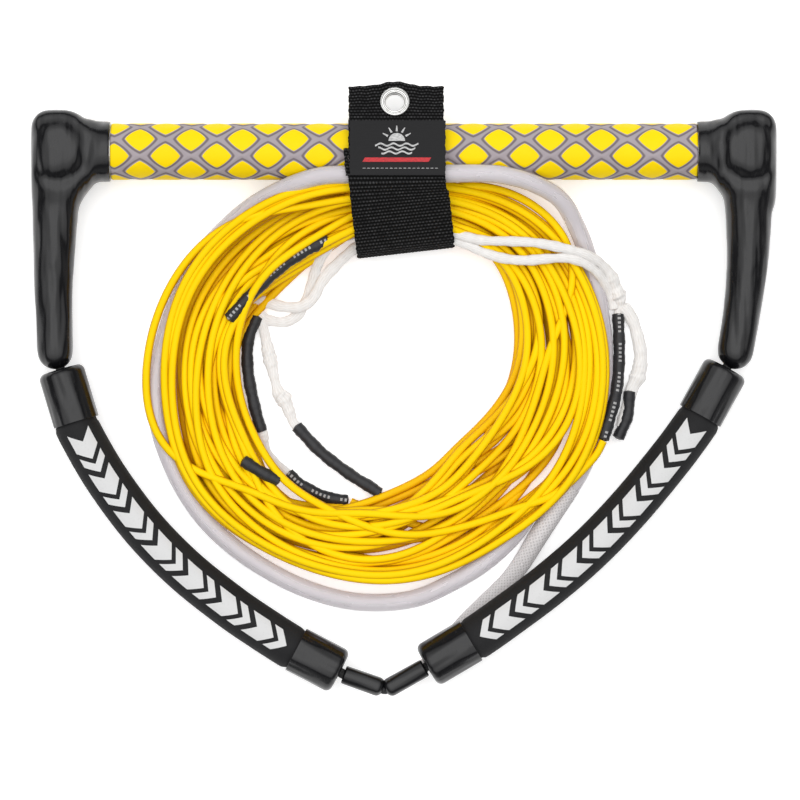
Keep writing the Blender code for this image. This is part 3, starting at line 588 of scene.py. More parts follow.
def lattice(name, rings, u, v, caps=True, closed=False, sharp=50.0):
    """A mesh over closed rings of points, given as (rows, columns, 3) with u per column and v per row."""
    rings = np.asarray(rings)
    rows, columns, _ = rings.shape
    spans = rows if closed else rows - 1
    row, column = (grid.ravel() for grid in np.meshgrid(np.arange(spans), np.arange(columns), indexing="ij"))
    next_row, next_column = (row + 1) % rows, (column + 1) % columns
    quads = np.stack(
        [
            row * columns + column,
            row * columns + next_column,
            next_row * columns + next_column,
            next_row * columns + column,
        ],
        axis=1,
    )
    corner_u = np.stack([u[column], u[column + 1], u[column + 1], u[column]], axis=1)
    v = np.append(v, 2 * v[-1] - v[-2])
    corner_v = np.stack([v[row], v[row], v[row + 1], v[row + 1]], axis=1)
    faces = quads.tolist()
    uvs = np.stack([corner_u, corner_v], axis=2).reshape(-1, 2)
    if caps and not closed:
        faces.append(list(range(columns))[::-1])
        faces.append(list(range((rows - 1) * columns, rows * columns)))
        uvs = np.concatenate([uvs, np.zeros((2 * columns, 2))])
    mesh = bpy.data.meshes.new(name)
    mesh.from_pydata(rings.reshape(-1, 3).tolist(), [], faces)
    layer = mesh.uv_layers.new(name="UVMap")
    layer.data.foreach_set("uv", uvs.astype(np.float32).ravel())
    mesh.update()
    turn_outward(mesh)
    mesh.shade_smooth()
    mesh.set_sharp_from_angle(angle=math.radians(sharp))
    return mesh


def turn_outward(mesh):
    """Turns a closed mesh's faces round if they point in."""
    bm = bmesh.new()
    bm.from_mesh(mesh)
    inside_out = bm.calc_volume(signed=True) < 0
    bm.free()
    if inside_out:
        mesh.flip_normals()


def smooth_line(points, step):
    """Points about one step apart on a Catmull-Rom curve through the given ones, in their units."""
    knots = [np.array(p, float) for p in points]
    knots = [2 * knots[0] - knots[1], *knots, 2 * knots[-1] - knots[-2]]
    made = []
    for before, start, end, after in zip(knots, knots[1:], knots[2:], knots[3:]):
        count = max(1, round(float(np.linalg.norm(end - start)) / step))
        for i in range(count):
            t = i / count
            made.append(
                0.5
                * (
                    2 * start
                    + (end - before) * t
                    + (2 * before - 5 * start + 4 * end - after) * t**2
                    + (3 * start - before - 3 * end + after) * t**3
                )
            )
    made.append(knots[-2])
    return np.array(made)


def lengths(points):
    return np.concatenate([[0.0], np.cumsum(np.linalg.norm(np.diff(points, axis=0), axis=1))])


def even_line(points, step):
    """The smooth curve through the points, read again at even steps."""
    fine = smooth_line(points, step / 3)
    along = lengths(fine)
    places = np.linspace(0.0, along[-1], max(4, round(along[-1] / step) + 1))
    return np.stack([np.interp(places, along, fine[:, axis]) for axis in range(3)], axis=1)


def unit(vectors):
    return vectors / np.linalg.norm(vectors, axis=-1, keepdims=True)


def sweep(name, points, width, height=None, sides=12, relief=None, ends=0.0, caps=True):
    """A tube of oval section along points in metres. relief(turn, along) is added to its radius,
    and its ends are rounded off over that length."""
    points = np.asarray(points)
    along = lengths(points)
    tangent = unit(np.gradient(points, axis=0))
    side = unit(np.cross(tangent, UP))
    rise = np.cross(side, tangent)
    half_width = np.broadcast_to(np.asarray(width, float) / 2, along.shape).copy()
    half_height = half_width if height is None else np.broadcast_to(np.asarray(height, float) / 2, along.shape)
    scale = np.ones_like(along)
    if ends > 0.0:
        near_end = np.minimum(along, along[-1] - along)
        scale = np.sqrt(np.clip(1.0 - (1.0 - np.clip(near_end / ends, 0.0, 1.0)) ** 2, 0.12, 1.0))
    turn = np.linspace(0.0, 2 * math.pi, sides, endpoint=False)
    extra = np.zeros((len(along), sides)) if relief is None else relief(turn[None, :], along[:, None])
    across = ((half_width * scale)[:, None] + extra) * np.cos(turn)
    upward = ((half_height * scale)[:, None] + extra) * np.sin(turn)
    rings = points[:, None, :] + across[:, :, None] * side[:, None, :] + upward[:, :, None] * rise[:, None, :]
    u = np.arange(sides + 1) / sides
    v = along / (2 * math.pi * float(half_width.mean()))
    return lattice(name, rings, u, v, caps)


def lathe(name, profile, start, end, steps=64, bevel_steps=4, bevel=0.35):
    """A turned solid between two points: a closed profile of (radius, height) in millimetres whose
    corners are rounded."""
    corners = [np.array(p, float) for p in profile]
    rounded = []
    for before, corner, after in zip(corners[-1:] + corners[:-1], corners, corners[1:] + corners[:1]):
        into, out = before - corner, after - corner
        size = min(bevel, 0.45 * np.linalg.norm(into), 0.45 * np.linalg.norm(out))
        first = corner + into / np.linalg.norm(into) * size
        last = corner + out / np.linalg.norm(out) * size
        for i in range(bevel_steps + 1):
            t = i / bevel_steps
            rounded.append((1 - t) ** 2 * first + 2 * t * (1 - t) * corner + t**2 * last)
    rounded = np.array(rounded) * MM
    start, end = np.array(start, float), np.array(end, float)
    axis = unit(end - start)
    side = unit(np.cross(axis, (0.0, 0.0, 1.0) if abs(axis[2]) < 0.9 else (1.0, 0.0, 0.0)))
    rise = np.cross(axis, side)
    turn = np.linspace(0.0, 2 * math.pi, steps, endpoint=False)
    spoke = np.cos(turn)[:, None] * side + np.sin(turn)[:, None] * rise
    rings = start + rounded[None, :, 0, None] * spoke[:, None, :] + rounded[None, :, 1, None] * axis
    u = lengths(rounded)
    u = np.append(u, u[-1] + bevel * MM)
    v = turn * float(rounded[:, 0].max())
    return lattice(name, rings, u, v, caps=False, closed=True, sharp=40.0)


def flat_point(pair, z=BAR_Z):
    return np.array((pair[0], pair[1], z)) * MM


# ---------------------------------------------------------------- bar, grip and arms


def grip_row_pitch():
    return 2 * math.pi * GRIP_RADIUS / DIAMOND_ROWS


def diamond_reach(u, v):
    """The grip's pattern as the material reads it: 1 at the edge of the nearest diamond."""
    found = []
    for shift in (0.0, 0.5):
        total = 0.0
        for value, pitch, half in ((u, DIAMOND_PITCH, DIAMOND_HALF[0]), (v, grip_row_pitch(), DIAMOND_HALF[1])):
            off = np.abs((value + shift + 0.5) % 1.0 - 0.5)
            total = total + (off * pitch / half) ** DIAMOND_POWER
        found.append(total ** (1.0 / DIAMOND_POWER))
    return np.minimum(*found)


def smooth_step(value, low, high):
    t = np.clip((value - low) / (high - low), 0.0, 1.0)
    return t * t * (3 - 2 * t)


def grip(look):
    """Raised diamonds, a groove round each, and a low ridge between the grooves."""
    start, end = GRIP_ENDS
    x = np.linspace(start, end, 560)
    sides = 180
    columns = np.linspace(0.0, 2 * math.pi, sides + 1)
    turn = columns[:-1]
    u = (x - DIAMOND_CENTRE[0]) / DIAMOND_PITCH
    v = (columns - math.radians(DIAMOND_CENTRE[1])) / (2 * math.pi / DIAMOND_ROWS)
    near = diamond_reach(u[:, None], v[None, :-1])
    rise = -0.55 * smooth_step(near, 0.93, 1.16) + 0.32 * smooth_step(near, 1.22, 1.46)
    radius = GRIP_RADIUS + rise
    tuck = np.minimum(x - start, end - x)[:, None]
    radius = radius - 0.5 * (1 - smooth_step(tuck, 0.0, 0.7))
    y = BAR_Y + radius * np.cos(turn)
    z = BAR_Z + radius * np.sin(turn)
    rings = np.stack([np.broadcast_to(x[:, None], y.shape), y, z], axis=2) * MM
    mesh = lattice("grip", rings, v, u, sharp=80.0)
    layer = mesh.uv_layers["UVMap"]
    uvs = np.empty(len(layer.data) * 2, np.float32)
    layer.data.foreach_get("uv", uvs)
    layer.data.foreach_set("uv", uvs.reshape(-1, 2)[:, ::-1].ravel())
    foam = add("grip", mesh, look, "handle", ["grip_sleeve"])


def ball_points(centre, radius):
    ball = bmesh.new()
    bmesh.ops.create_uvsphere(ball, u_segments=20, v_segments=12, radius=radius)
    made = [centre + vertex.co for vertex in ball.verts]
    ball.free()
    return made


def arm_head(side):
    """The hull of the collar's ring and of the balls at the head's corners."""
    outward = SIDES[side]
    points = []
    for step in range(36):
        angle = math.radians(10.0 * step)
        y = BAR_Y + HEAD_RING_RADIUS * math.cos(angle)
        z = BAR_Z + HEAD_RING_RADIUS * math.sin(angle)
        points.append(Vector((outward * HEAD_RING_X, y, z)) * MM)
    for x, y, rise, radius in HEAD_SPHERES:
        for height in sorted({-rise, rise}):
            points.extend(ball_points(Vector((outward * x, y, BAR_Z + height)) * MM, radius * MM))
    bm = bmesh.new()
    hull = bmesh.ops.convex_hull(bm, input=[bm.verts.new(co) for co in points])
    inside = [item for item in hull["geom_interior"] if isinstance(item, bmesh.types.BMVert)]
    bmesh.ops.delete(bm, geom=inside, context="VERTS")
    bmesh.ops.recalc_face_normals(bm, faces=bm.faces)
    mesh = bpy.data.meshes.new(f"head_{side}")
    bm.to_mesh(mesh)
    bm.free()
    return mesh


def arm_leg(side):
    """The leg's stations read smoothly, then its dome."""
    stations = smooth_line(LEG_STATIONS[side], 4.0)
    x, y, dome = stations[-1]
    rows = [(sx, sy, radius) for sx, sy, radius in stations]
    for degrees in range(10, 90, 8):
        angle = math.radians(degrees)
        rows.append((x, y - dome * math.sin(angle), dome * math.cos(angle)))
    rows = np.array(rows)
    points = np.stack([rows[:, 0], rows[:, 1], np.full(len(rows), BAR_Z)], axis=1) * MM
    return sweep(f"leg_{side}", points, 2 * rows[:, 2] * MM, sides=40)


def applied(obj):
    """The object's mesh with its modifiers applied; the object is removed."""
    bpy.context.view_layer.update()
    graph = bpy.context.evaluated_depsgraph_get()
    mesh = bpy.data.meshes.new_from_object(obj.evaluated_get(graph))
    mesh.transform(obj.matrix_world)
    bpy.data.objects.remove(obj, do_unlink=True)
    return mesh


def joined(name, meshes):
    bm = bmesh.new()
    for mesh in meshes:
        bm.from_mesh(mesh)
    mesh = bpy.data.meshes.new(name)
    bm.to_mesh(mesh)
    bm.free()
    obj = bpy.data.objects.new(name, mesh)
    bpy.context.scene.collection.objects.link(obj)
    return obj


def dips(co, outward):
    """The coat sags a little between the head and the leg, and between the head and the collar, and
    the head's flat sides bulge."""
    x, y, z = outward * co[:, 0] / MM, co[:, 1] / MM, co[:, 2] / MM
    off_axis = np.hypot(y - BAR_Y, z - BAR_Z)
    height = z - BAR_Z
    out = np.hypot(x - 177.0, y - 122.5)
    height = height * (1.0 + 0.03 * np.exp(-((out / 10.0) ** 2)) - 0.12 * np.exp(-(((out - 15.5) / 3.6) ** 2)))
    waist = 0.8 * np.exp(-(((x - 163.5) / 2.8) ** 2)) * smooth_step(off_axis, 4.0, 12.0)
    moved = co.copy()
    moved[:, 1] = (y - waist * (y - BAR_Y) / np.maximum(off_axis, 1.0)) * MM
    moved[:, 2] = (BAR_Z + height - waist * height / np.maximum(off_axis, 1.0)) * MM
    return moved


def arm(side, look):
    """Head, leg and collar grown together, with the soft fillets of a dipped coat."""
    outward = SIDES[side]
    collar = [np.array((outward * x, BAR_Y, BAR_Z)) * MM for x in (COLLAR_ENDS[0] - 2.0, *COLLAR_ENDS)]
    obj = joined(f"arm_{side}", [arm_head(side), arm_leg(side), sweep("collar", collar, 2 * COLLAR_RADIUS * MM, sides=48)])
    remesh = obj.modifiers.new("grow", "REMESH")
    remesh.mode = "VOXEL"
    remesh.voxel_size = 1.0 * MM
    soften = obj.modifiers.new("soften", "SMOOTH")
    soften.factor = 0.5
    soften.iterations = 42
    swell = obj.modifiers.new("swell", "DISPLACE")
    swell.strength = 0.5 * MM
    swell.mid_level = 0.0
    mesh = applied(obj)
    co = np.empty(len(mesh.vertices) * 3, np.float32)
    mesh.vertices.foreach_get("co", co)
    co = dips(co.reshape(-1, 3), outward)
    face = COLLAR_ENDS[0] * MM
    inboard = outward * co[:, 0] < face
    co[inboard, 0] = outward * face
    mesh.vertices.foreach_set("co", co.ravel())
    mesh.update()
    mesh.shade_smooth()
    mesh.set_sharp_from_angle(angle=math.radians(60.0))
    add(f"arm_{side}_skin", mesh, look, "handle", [f"arm_{side}"])


def braid_relief(depth, plaits, lay):
    """Crossing plaits on a rope's surface."""

    def relief(turn, along):
        left = plaits * turn / 2 + along * lay
        right = plaits * turn / 2 - along * lay
        return depth * MM * (np.maximum(np.abs(np.sin(left)), np.abs(np.sin(right))) - 0.8)

    return relief


# ---------------------------------------------------------------- bridle


def float_marks(side):
    plan = FLOATS[side]
    dome, upper_end = flat_point(plan["dome"]), flat_point(plan["upper_cap_end"])
    upper_start = dome + unit(upper_end - dome) * CAP_CLEARANCE * MM
    return {
        "dome": dome,
        "upper": (upper_start, upper_end),
        "curve": [flat_point(pair) for pair in plan["curve"]],
        "lower": (flat_point(plan["lower_cap_start"]), flat_point(plan["lower_cap_end"])),
        "tip": tuple(flat_point(pair) for pair in plan["tip"]),
    }


def float_line(side):
    """The float's centre line between the closed ends of its caps."""
    marks = float_marks(side)
    upper, lower = marks["upper"], marks["lower"]
    leave, arrive = unit(upper[1] - upper[0]), unit(lower[1] - lower[0])
    return even_line(
        [
            upper[0] + leave * 4.5 * MM,
            upper[1],
            upper[1] + leave * 5.0 * MM,
            *marks["curve"],
            lower[0] - arrive * 5.0 * MM,
            lower[0],
            lower[1] - arrive * 4.5 * MM,
        ],
        1.5 * MM,
    )


def float_body(side):
    """The foam tube, pinched a little where each cap is pushed over it."""
    line = float_line(side)
    along = lengths(line)
    marks = float_marks(side)
    upper = float(np.linalg.norm(marks["upper"][1] - marks["upper"][0])) - 4.5 * MM
    lower = along[-1] - float(np.linalg.norm(marks["lower"][1] - marks["lower"][0])) + 4.5 * MM
    free = smooth_step(along, upper, upper + 2.5 * MM) * (1 - smooth_step(along, lower - 2.5 * MM, lower))
    width = 2 * (10.45 + (FOAM_RADIUS - 10.45) * free) * MM
    mesh = sweep(f"float_{side}", line, width, sides=56)
    layer = mesh.uv_layers["UVMap"]
    uvs = np.empty(len(layer.data) * 2, np.float32)
    layer.data.foreach_get("uv", uvs)
    uvs = uvs.reshape(-1, 2)
    uvs[:, 1] *= 2 * math.pi * float(width.mean()) / 2
    uvs[:, 1] -= upper
    layer.data.foreach_set("uv", uvs.ravel())
    look = float_foam_look(lower - upper)
    look.name = f"float_foam_{side}"
    foam = add(f"float_{side}", mesh, look, "bridle", [f"float_foam_{side}"])


def cap_profile(length):
    outer = []
    for step in range(7):
        angle = math.radians(15.0 * step)
        radius = CAP_RADIUS - CAP_EDGE * (1.0 - math.cos(angle))
        outer.append((radius, CAP_EDGE * (1.0 - math.sin(angle))))
    return ((CAP_RADIUS, length), *outer, (3.1, 0.0), (3.1, 4.0), (10.5, 4.0), (10.5, length))


def tip_profile(length):
    """A sleeve that closes over the rope in a round nose at the apex."""
    nose = []
    for step in range(7):
        angle = math.radians(15.0 * step)
        nose.append((1.0 + (TIP_RADIUS - 1.0) * math.sin(angle), length - 1.2 + 3.4 * math.cos(angle)))
    return (*nose, (TIP_RADIUS - 0.1, 0.0), (1.0, 0.0))


def bridle(vinyl, braid):
    for side in SIDES:
        float_body(side)
        marks = float_marks(side)
        for level in ("upper", "lower"):
            start, end = marks[level] if level == "upper" else marks[level][::-1]
            profile = cap_profile(float(np.linalg.norm(end - start)) / MM)
            node = f"float_{level}_cap_{side}"
            add(f"cap_{level}_{side}", lathe(node, profile, start, end), vinyl, "bridle", [node])
        start, end = marks["tip"]
        profile = tip_profile(float(np.linalg.norm(end - start)) / MM)
        mesh = lathe(f"tip_{side}", profile, start, end, bevel=1.1)
        add(f"tip_{side}", mesh, vinyl, "bridle", [f"tip_sleeve_{side}"])
    left, right = float_marks("left"), float_marks("right")
    line = even_line(
        [left["dome"], left["upper"][0], *float_line("left")[4:-4:12], *left["lower"], *left["tip"], flat_point(APEX),
         (flat_point(APEX) + right["tip"][1]) / 2],
        1.2 * MM,
    )
    other = even_line(
        [(flat_point(APEX) + left["tip"][1]) / 2, flat_point(APEX), *right["tip"][::-1], *right["lower"][::-1], *float_line("right")[-4:4:-12], right["upper"][0],
         right["dome"]],
        1.2 * MM,
    )
    for name, points in (("left", line), ("right", other)):
        mesh = sweep(f"bridle_rope_{name}", points, 2 * ROPE_RADIUS * MM, sides=16, relief=braid_relief(0.35, 8, 1500.0))
        nodes = ["bridle_rope", f"arm_rope_{name}"] if name == "left" else [f"arm_rope_{name}"]
        obj = add(f"rope_{name}", mesh, braid, None, nodes)
        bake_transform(obj)


# ---------------------------------------------------------------- strap


def wrap_point(degrees, offset):
    """The point of the strap's loop, (y, z), whose outward direction is that angle from +Y."""
    normal = np.array((math.cos(math.radians(degrees)), math.sin(math.radians(degrees))))
    y, z, radius = max(STRAP_WRAPS, key=lambda c: c[0] * normal[0] + c[1] * normal[1] + c[2])
    return np.array((y, z)) + normal * (radius + offset)


def wrap_line(first, last, offset, step=0.36):
    """The loop between two directions at one offset, read at even steps, with its outward normals."""
    count = max(2, round(abs(last - first) / 2.0))
    corners = np.array([wrap_point(first + (last - first) * i / count, offset) for i in range(count + 1)])
    return even_plane_line(corners, step)


def even_plane_line(corners, step):
    along = lengths(corners)
    places = np.linspace(0.0, along[-1], max(3, round(along[-1] / step) + 1))
    line = np.stack([np.interp(places, along, corners[:, axis]) for axis in range(2)], axis=1)
    ahead = np.gradient(line, axis=0)
    kernel = np.ones(5) / 5
    for axis in range(2):
        padded = np.pad(ahead[:, axis], 2, mode="edge")
        ahead[:, axis] = np.convolve(padded, kernel, mode="valid")
    ahead = unit(ahead)
    normal = np.stack([ahead[:, 1], -ahead[:, 0]], axis=1)
    return line, normal


def slanted(x, y):
    """Below the bar the strap runs at a slight slant across the coil."""
    drop = np.maximum(0.0, STRAP_SLANT_Y - y)
    ramp = np.minimum(1.0, drop / STRAP_SLANT_RAMP)
    middle = sum(STRAP_X) / 2
    return x + STRAP_SLANT * drop, y + STRAP_SLANT * (x - middle) * ramp


def rib_height(x, along, depth):
    """Ribs across the webbing, each crossed by its yarns."""
    rib = 0.5 - 0.5 * np.cos(2 * math.pi * along / RIB_PITCH)
    row = np.floor(along / RIB_PITCH) % 2
    yarn = 0.5 + 0.5 * np.sin(2 * math.pi * x / YARN_PITCH + math.pi * row)
    return depth * rib**0.6 * (0.6 + 0.4 * yarn)


def strip(name, line, normal, thickness, across=STRAP_X, rib=0.28, closed=False, length_at=None, slant=True, columns=100):
    """A length of webbing on a line of (y, z) points, ribbed on both faces, as a closed solid."""
    x = np.linspace(*across, columns)
    along = lengths(line)
    edge = smooth_step(np.minimum(x - across[0], across[1] - x), 0.0, 0.9)
    waver = 0.16 * np.sin(along * 2 * math.pi / 7.3) + 0.10 * np.sin(along * 2 * math.pi / 2.9 + 1.0)
    faces = []
    for outward, base in ((1.0, thickness), (-1.0, 0.0)):
        lift = base + outward * (rib_height(x[None, :], along[:, None], rib) - rib) * 1.0
        lift = lift - outward * (1 - edge[None, :]) * 0.35 * thickness
        stretch = (x - sum(across) / 2) / (across[1] - across[0]) * 2
        xs = x[None, :] + waver[:, None] * np.sign(stretch) * np.abs(stretch) ** 8
        ys = line[:, 0][:, None] + normal[:, 0][:, None] * lift
        zs = line[:, 1][:, None] + normal[:, 1][:, None] * lift
        if length_at is not None:
            xs, ys, zs = length_at(np.broadcast_to(xs, ys.shape), ys, zs)
        if slant:
            xs, ys = slanted(xs, ys)
        faces.append(np.stack([xs, ys, zs], axis=2) * MM)
    rings = np.concatenate([faces[0], faces[1][:, ::-1]], axis=1)
    u = np.concatenate([x, x[::-1], x[:1]]) * MM
    return lattice(name, rings, u, along * MM, closed=closed, sharp=70.0)


def front_frame():
    """The label's flat run: a point on it, the way to its top in (y, z), and its normal."""
    root, rope = STRAP_WRAPS[3], STRAP_WRAPS[1]
    run = (rope[0] - root[0], rope[1] - root[1])
    lean = math.asin((root[2] - rope[2]) / math.hypot(*run))
    angle = math.atan2(run[1], run[0]) - math.pi / 2 + lean
    normal = np.array((math.cos(angle), math.sin(angle)))
    return np.array(root[:2]), np.array((normal[1], -normal[0])), normal, math.degrees(angle) % 360.0


def cloth(width=None):
    """The width of a length of webbing or satin ribbon, the webbing's unless given; nothing more is done with it. its
    cut size is the ribbon's width by the length of its line.
    """
    width = STRAP_X[1] - STRAP_X[0] if width is None else width


def strap_band(look):
    line, normal = wrap_line(0.0, 360.0, 0.05, 0.45)
    mesh = strip("strap_band", line[:-1], normal[:-1], 1.1, rib=0.22, closed=True, columns=64)
    obj = add("strap_loop", mesh, look, "handle", ["strap_band"])
    cloth()


def strap_front(look):
    """Cover and flap are one strip: it lies low under the label and steps up over the closure."""
    _, _, _, label = front_frame()
    low, low_normal = wrap_line(label - 1.0, FLAP_ROOT_ANGLE, 1.6)
    high, high_normal = wrap_line(FLAP_ROOT_ANGLE, FLAP_END_ANGLE + 4.0, 3.0)
    line, normal = even_plane_line(np.concatenate([low[:-8], high[8:]]), 0.36)

    def step_out(xs, ys, zs):
        flap = smooth_step(-ys, -100.5, -99.0)
        right = smooth_step(xs, 8.0, STRAP_X[1])
        return xs + right * (0.6 + 0.9 * flap), ys, zs

    mesh = strip("strap_front", line, normal, 1.35, rib=0.45, length_at=step_out, columns=130)
    obj = add("strap_front", mesh, look, None, ["strap_cover", "strap_flap"])
    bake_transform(obj)
    under, under_normal = wrap_line(label - 1.0, FLAP_ROOT_ANGLE - 2.0, 1.3)
    from_top = under[:, 0] < 123.0

    def taper(xs, ys, zs):
        return xs + 1.2 * smooth_step(-ys, -123.0, -104.0), ys, zs

    edge = strip("strap_edge", under[from_top], under_normal[from_top], 1.2, across=(-30.6, -28.5), rib=0.2,
                 length_at=taper, columns=12)
    border = add("strap_edge", edge, look, "handle")
    cloth()


def tab_frame():
    root, along, normal, _ = front_frame()
    return root + along * TAB_SETBACK + normal * TAB_MIDDLE, along, normal


def strap_tab(look):
    """The tab's folded end bulges a little over the grommet."""
    axis, along, normal = tab_frame()
    back = 5.0
    tab_line = np.stack([axis + along * (s - back) for s in np.arange(0.0, TAB_LENGTH + back, 0.36)])
    sag = np.linspace(0.0, 1.0, len(tab_line))

    def bulge(xs, ys, zs):
        reach = np.clip((ys - axis[0]) / (TAB_LENGTH * along[0]), 0.0, 1.0)
        short = 2.6 * (1 - np.exp(-(((xs - GROMMET_X) / 9.0) ** 2))) + 0.25 * np.sin(xs * 0.9)
        fold = 0.5 * reach**3 * np.cos((xs - GROMMET_X) / 12.0)
        return xs, ys - along[0] * short * reach, zs - along[1] * short * reach + fold * normal[1]

    flat = tab_line - normal * 1.15 + 0.0 * sag[:, None]
    mesh = strip("strap_tab", flat, np.broadcast_to(normal, flat.shape), 2.3, rib=0.30, length_at=bulge, slant=False)
    obj = bpy.data.objects.new("strap_tab", mesh)
    bpy.context.scene.collection.objects.link(obj)
    centre = np.array((GROMMET_X, *(axis + along * GROMMET_REACH))) * MM
    up = np.array((0.0, *normal))
    punch = bpy.data.objects.new("punch", lathe("punch", ((5.6, 6.0), (5.6, -6.0), (0.02, -6.0), (0.02, 6.0)), centre, centre + up, 48))
    bpy.context.scene.collection.objects.link(punch)
    cut = obj.modifiers.new("punch", "BOOLEAN")
    cut.operation = "DIFFERENCE"
    cut.object = punch
    mesh = applied(obj)
    bpy.data.objects.remove(punch, do_unlink=True)
    tab = add("tab_webbing", mesh, look, None, ["strap_tab"])
    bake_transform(tab)
    cloth()


def grommet(look):
    """Eyelet and washer: rolled rims, and a barrel through the tab."""
    axis, along, normal = tab_frame()
    centre = np.array((GROMMET_X, *(axis + along * GROMMET_REACH))) * MM
    up = np.array((0.0, *normal))
    for name, node, face in (("eyelet", "grommet", 1.0), ("eyelet_washer", "grommet_washer", -1.0)):
        profile = (
            (GROMMET_RADIUS - 0.75, 2.55),
            (GROMMET_RADIUS - 0.2, 2.25),
            (GROMMET_RADIUS, 1.75),
            (GROMMET_RADIUS, 1.5),
            (5.3, 1.5),
            (5.3, 0.2),
            (GROMMET_HOLE, 0.2),
            (GROMMET_HOLE, 1.8),
            (GROMMET_HOLE + 0.2, 2.2),
            (GROMMET_HOLE + 0.65, 2.45),
            (GROMMET_HOLE + 1.2, 2.2),
            (GROMMET_HOLE + 1.3, 0.9),
            (GROMMET_HOLE + 1.75, 0.9),
            (GROMMET_HOLE + 1.85, 2.25),
        )
        mesh = lathe(name, profile, centre, centre + up * face, 72, bevel=0.2)
        add(name, mesh, look, "hang_tab", [node])


def label(satin_look, white_thread, red_thread):
    """Satin label with a stitched lower seam and a generic sun-over-waves mark."""
    root, along, normal, angle = front_frame()
    line, normals = wrap_line(angle - 1.0, FLAP_ROOT_ANGLE - 6.0, 3.0, 0.5)
    mesh = strip("label", line, normals, 0.35, across=(-27.6, 21.2), rib=0.05, columns=80)
    ribbon = add("label", mesh, satin_look, "handle", ["strap_label"])
    cloth(48.8)
    lift = 3.42

    def on_label(name, outline, look, height=0.16):
        """A raised patch: an outline of (x, distance down the label), extruded square to the label."""
        bm = bmesh.new()
        low = [bm.verts.new(label_point(x, down, lift)) for x, down in outline]
        high = [bm.verts.new(label_point(x, down, lift + height)) for x, down in outline]
        bm.faces.new(high)
        bm.faces.new(low[::-1])
        for i in range(len(low)):
            after = (i + 1) % len(low)
            bm.faces.new((low[i], low[after], high[after], high[i]))
        bmesh.ops.recalc_face_normals(bm, faces=bm.faces)
        made = bpy.data.meshes.new(name)
        bm.to_mesh(made)
        bm.free()
        add(name, made, look, "handle")

    def label_point(x, down, offset):
        y, z = root - along * down + normal * offset
        return np.array((x, y, z)) * MM

    middle = -3.6
    sun = [(middle + 4.2 * math.cos(t), 11.0 - 4.2 * math.sin(t)) for t in np.linspace(0.0, math.pi, 25)]
    on_label("mark_sun", sun, white_thread)
    for ray in range(5):
        angle = math.radians(30.0 * (ray + 1))
        out = np.array((math.cos(angle), -math.sin(angle)))
        side = np.array((-out[1], out[0]))
        base = np.array((middle, 11.0))
        corners = [base + out * 5.2 - side * 0.55, base + out * 8.2 - side * 0.2, base + out * 8.2 + side * 0.2,
                   base + out * 5.2 + side * 0.55]
        on_label(f"mark_ray_{ray + 1}", corners, white_thread)
    for row in range(3):
        xs = np.linspace(middle - 11.0 + row * 1.6, middle + 11.0 - row * 1.6, 41)
        crest = 13.0 + 2.1 * row + 0.65 * np.sin((xs - middle) * 0.95 + row)
        upper = list(zip(xs, crest - 0.45))
        lower = list(zip(xs, crest + 0.45))
        on_label(f"mark_wave_{row + 1}", upper + lower[::-1], white_thread)
    red = [(middle - 17.5, 22.2), (middle - 16.2, 19.9), (middle + 17.5, 19.9), (middle + 16.2, 22.2)]
    on_label("mark_bar", red, red_thread)
    stitches = []
    for place in np.arange(-21.0, 17.0, 2.3):
        start, end = label_point(place, 25.6, 3.42), label_point(place + 1.6, 25.6, 3.42)
        middle_point = (start + end) / 2 + np.array((0.0, *normal)) * 0.16 * MM
        points = even_line([start, middle_point, end], 0.3 * MM)
        stitches.append(sweep("stitch", points, 0.34 * MM, sides=8, ends=0.2 * MM))
    seam = joined("seam", stitches)
    mesh = seam.data
    bpy.data.objects.remove(seam, do_unlink=True)
    mesh.shade_smooth()
    add("label_stitches", mesh, white_thread, "handle")


# ---------------------------------------------------------------- rope


def around(values, degrees):
    """A smooth closed reading of values that are given at even angles."""
    values = np.array(values)
    place = np.asarray(degrees) / 360.0 * len(values)
    index = np.floor(place).astype(int)
    t = place - index
    before, start, end, after = (values[(index + i) % len(values)] for i in (-1, 0, 1, 2))
    return 0.5 * (
        2 * start
        + (end - before) * t
        + (2 * before - 5 * start + 4 * end - after) * t**2
        + (3 * start - before - 3 * end + after) * t**3
    )


def polar(point):
    x, y = point[0] - COIL_CENTRE[0], point[1] - COIL_CENTRE[1]
    return math.hypot(x, y), math.degrees(math.atan2(y, x)) % 360.0


# Strands that stray from their place in the coil: turns before the last, then knots of degrees,
# radius, and height where the strand doesn't just lie on what is below it
STRAYS = (
    # the last turn: over the inner sleeve, down the left and across the others to the outer edge
    (
        0,
        ((92.0, 81.5, None), (102.0, 80.2, None), (115.0, 77.1, 20.0), (128.0, 77.8, 21.0), (139.0, 79.3, 21.4),
         (147.0, 78.4, 21.0), (158.0, 76.6, 17.0), (168.5, 75.5, None), (184.0, 73.0, None), (198.0, 72.1, None),
         (210.5, 70.5, 16.5), (225.5, 73.2, 20.6), (237.0, 72.4, 18.0), (249.0, 72.2, 14.5), (265.0, 76.8, None),
         (277.0, 82.7, None), (295.0, 86.3, None), (313.0, 94.0, None), (328.0, 106.9, None), (334.0, 112.0, 12.8), (340.0, 117.5, 12.0)),
    ),
    # a strand outside the clear tube on the left
    (
        1,
        ((118.0, 104.0, None), (132.0, 109.5, None), (145.0, 115.2, 11.5), (160.0, 118.3, 10.5), (180.0, 120.8, 9.3),
         (192.0, 121.6, 9.0), (204.0, 118.5, 10.0), (216.0, 112.5, None)),
    ),
    # a strand along the clear tube at the upper right
    (
        2,
        ((14.0, 116.5, None), (24.0, 118.5, None), (34.0, 120.2, 8.5), (41.0, 120.8, 14.0), (50.0, 118.8, 20.5),
         (60.0, 112.6, 24.5), (71.0, 105.5, 24.0), (84.0, 98.0, 20.0)),
    ),
)
LANE_KNOTS = 8
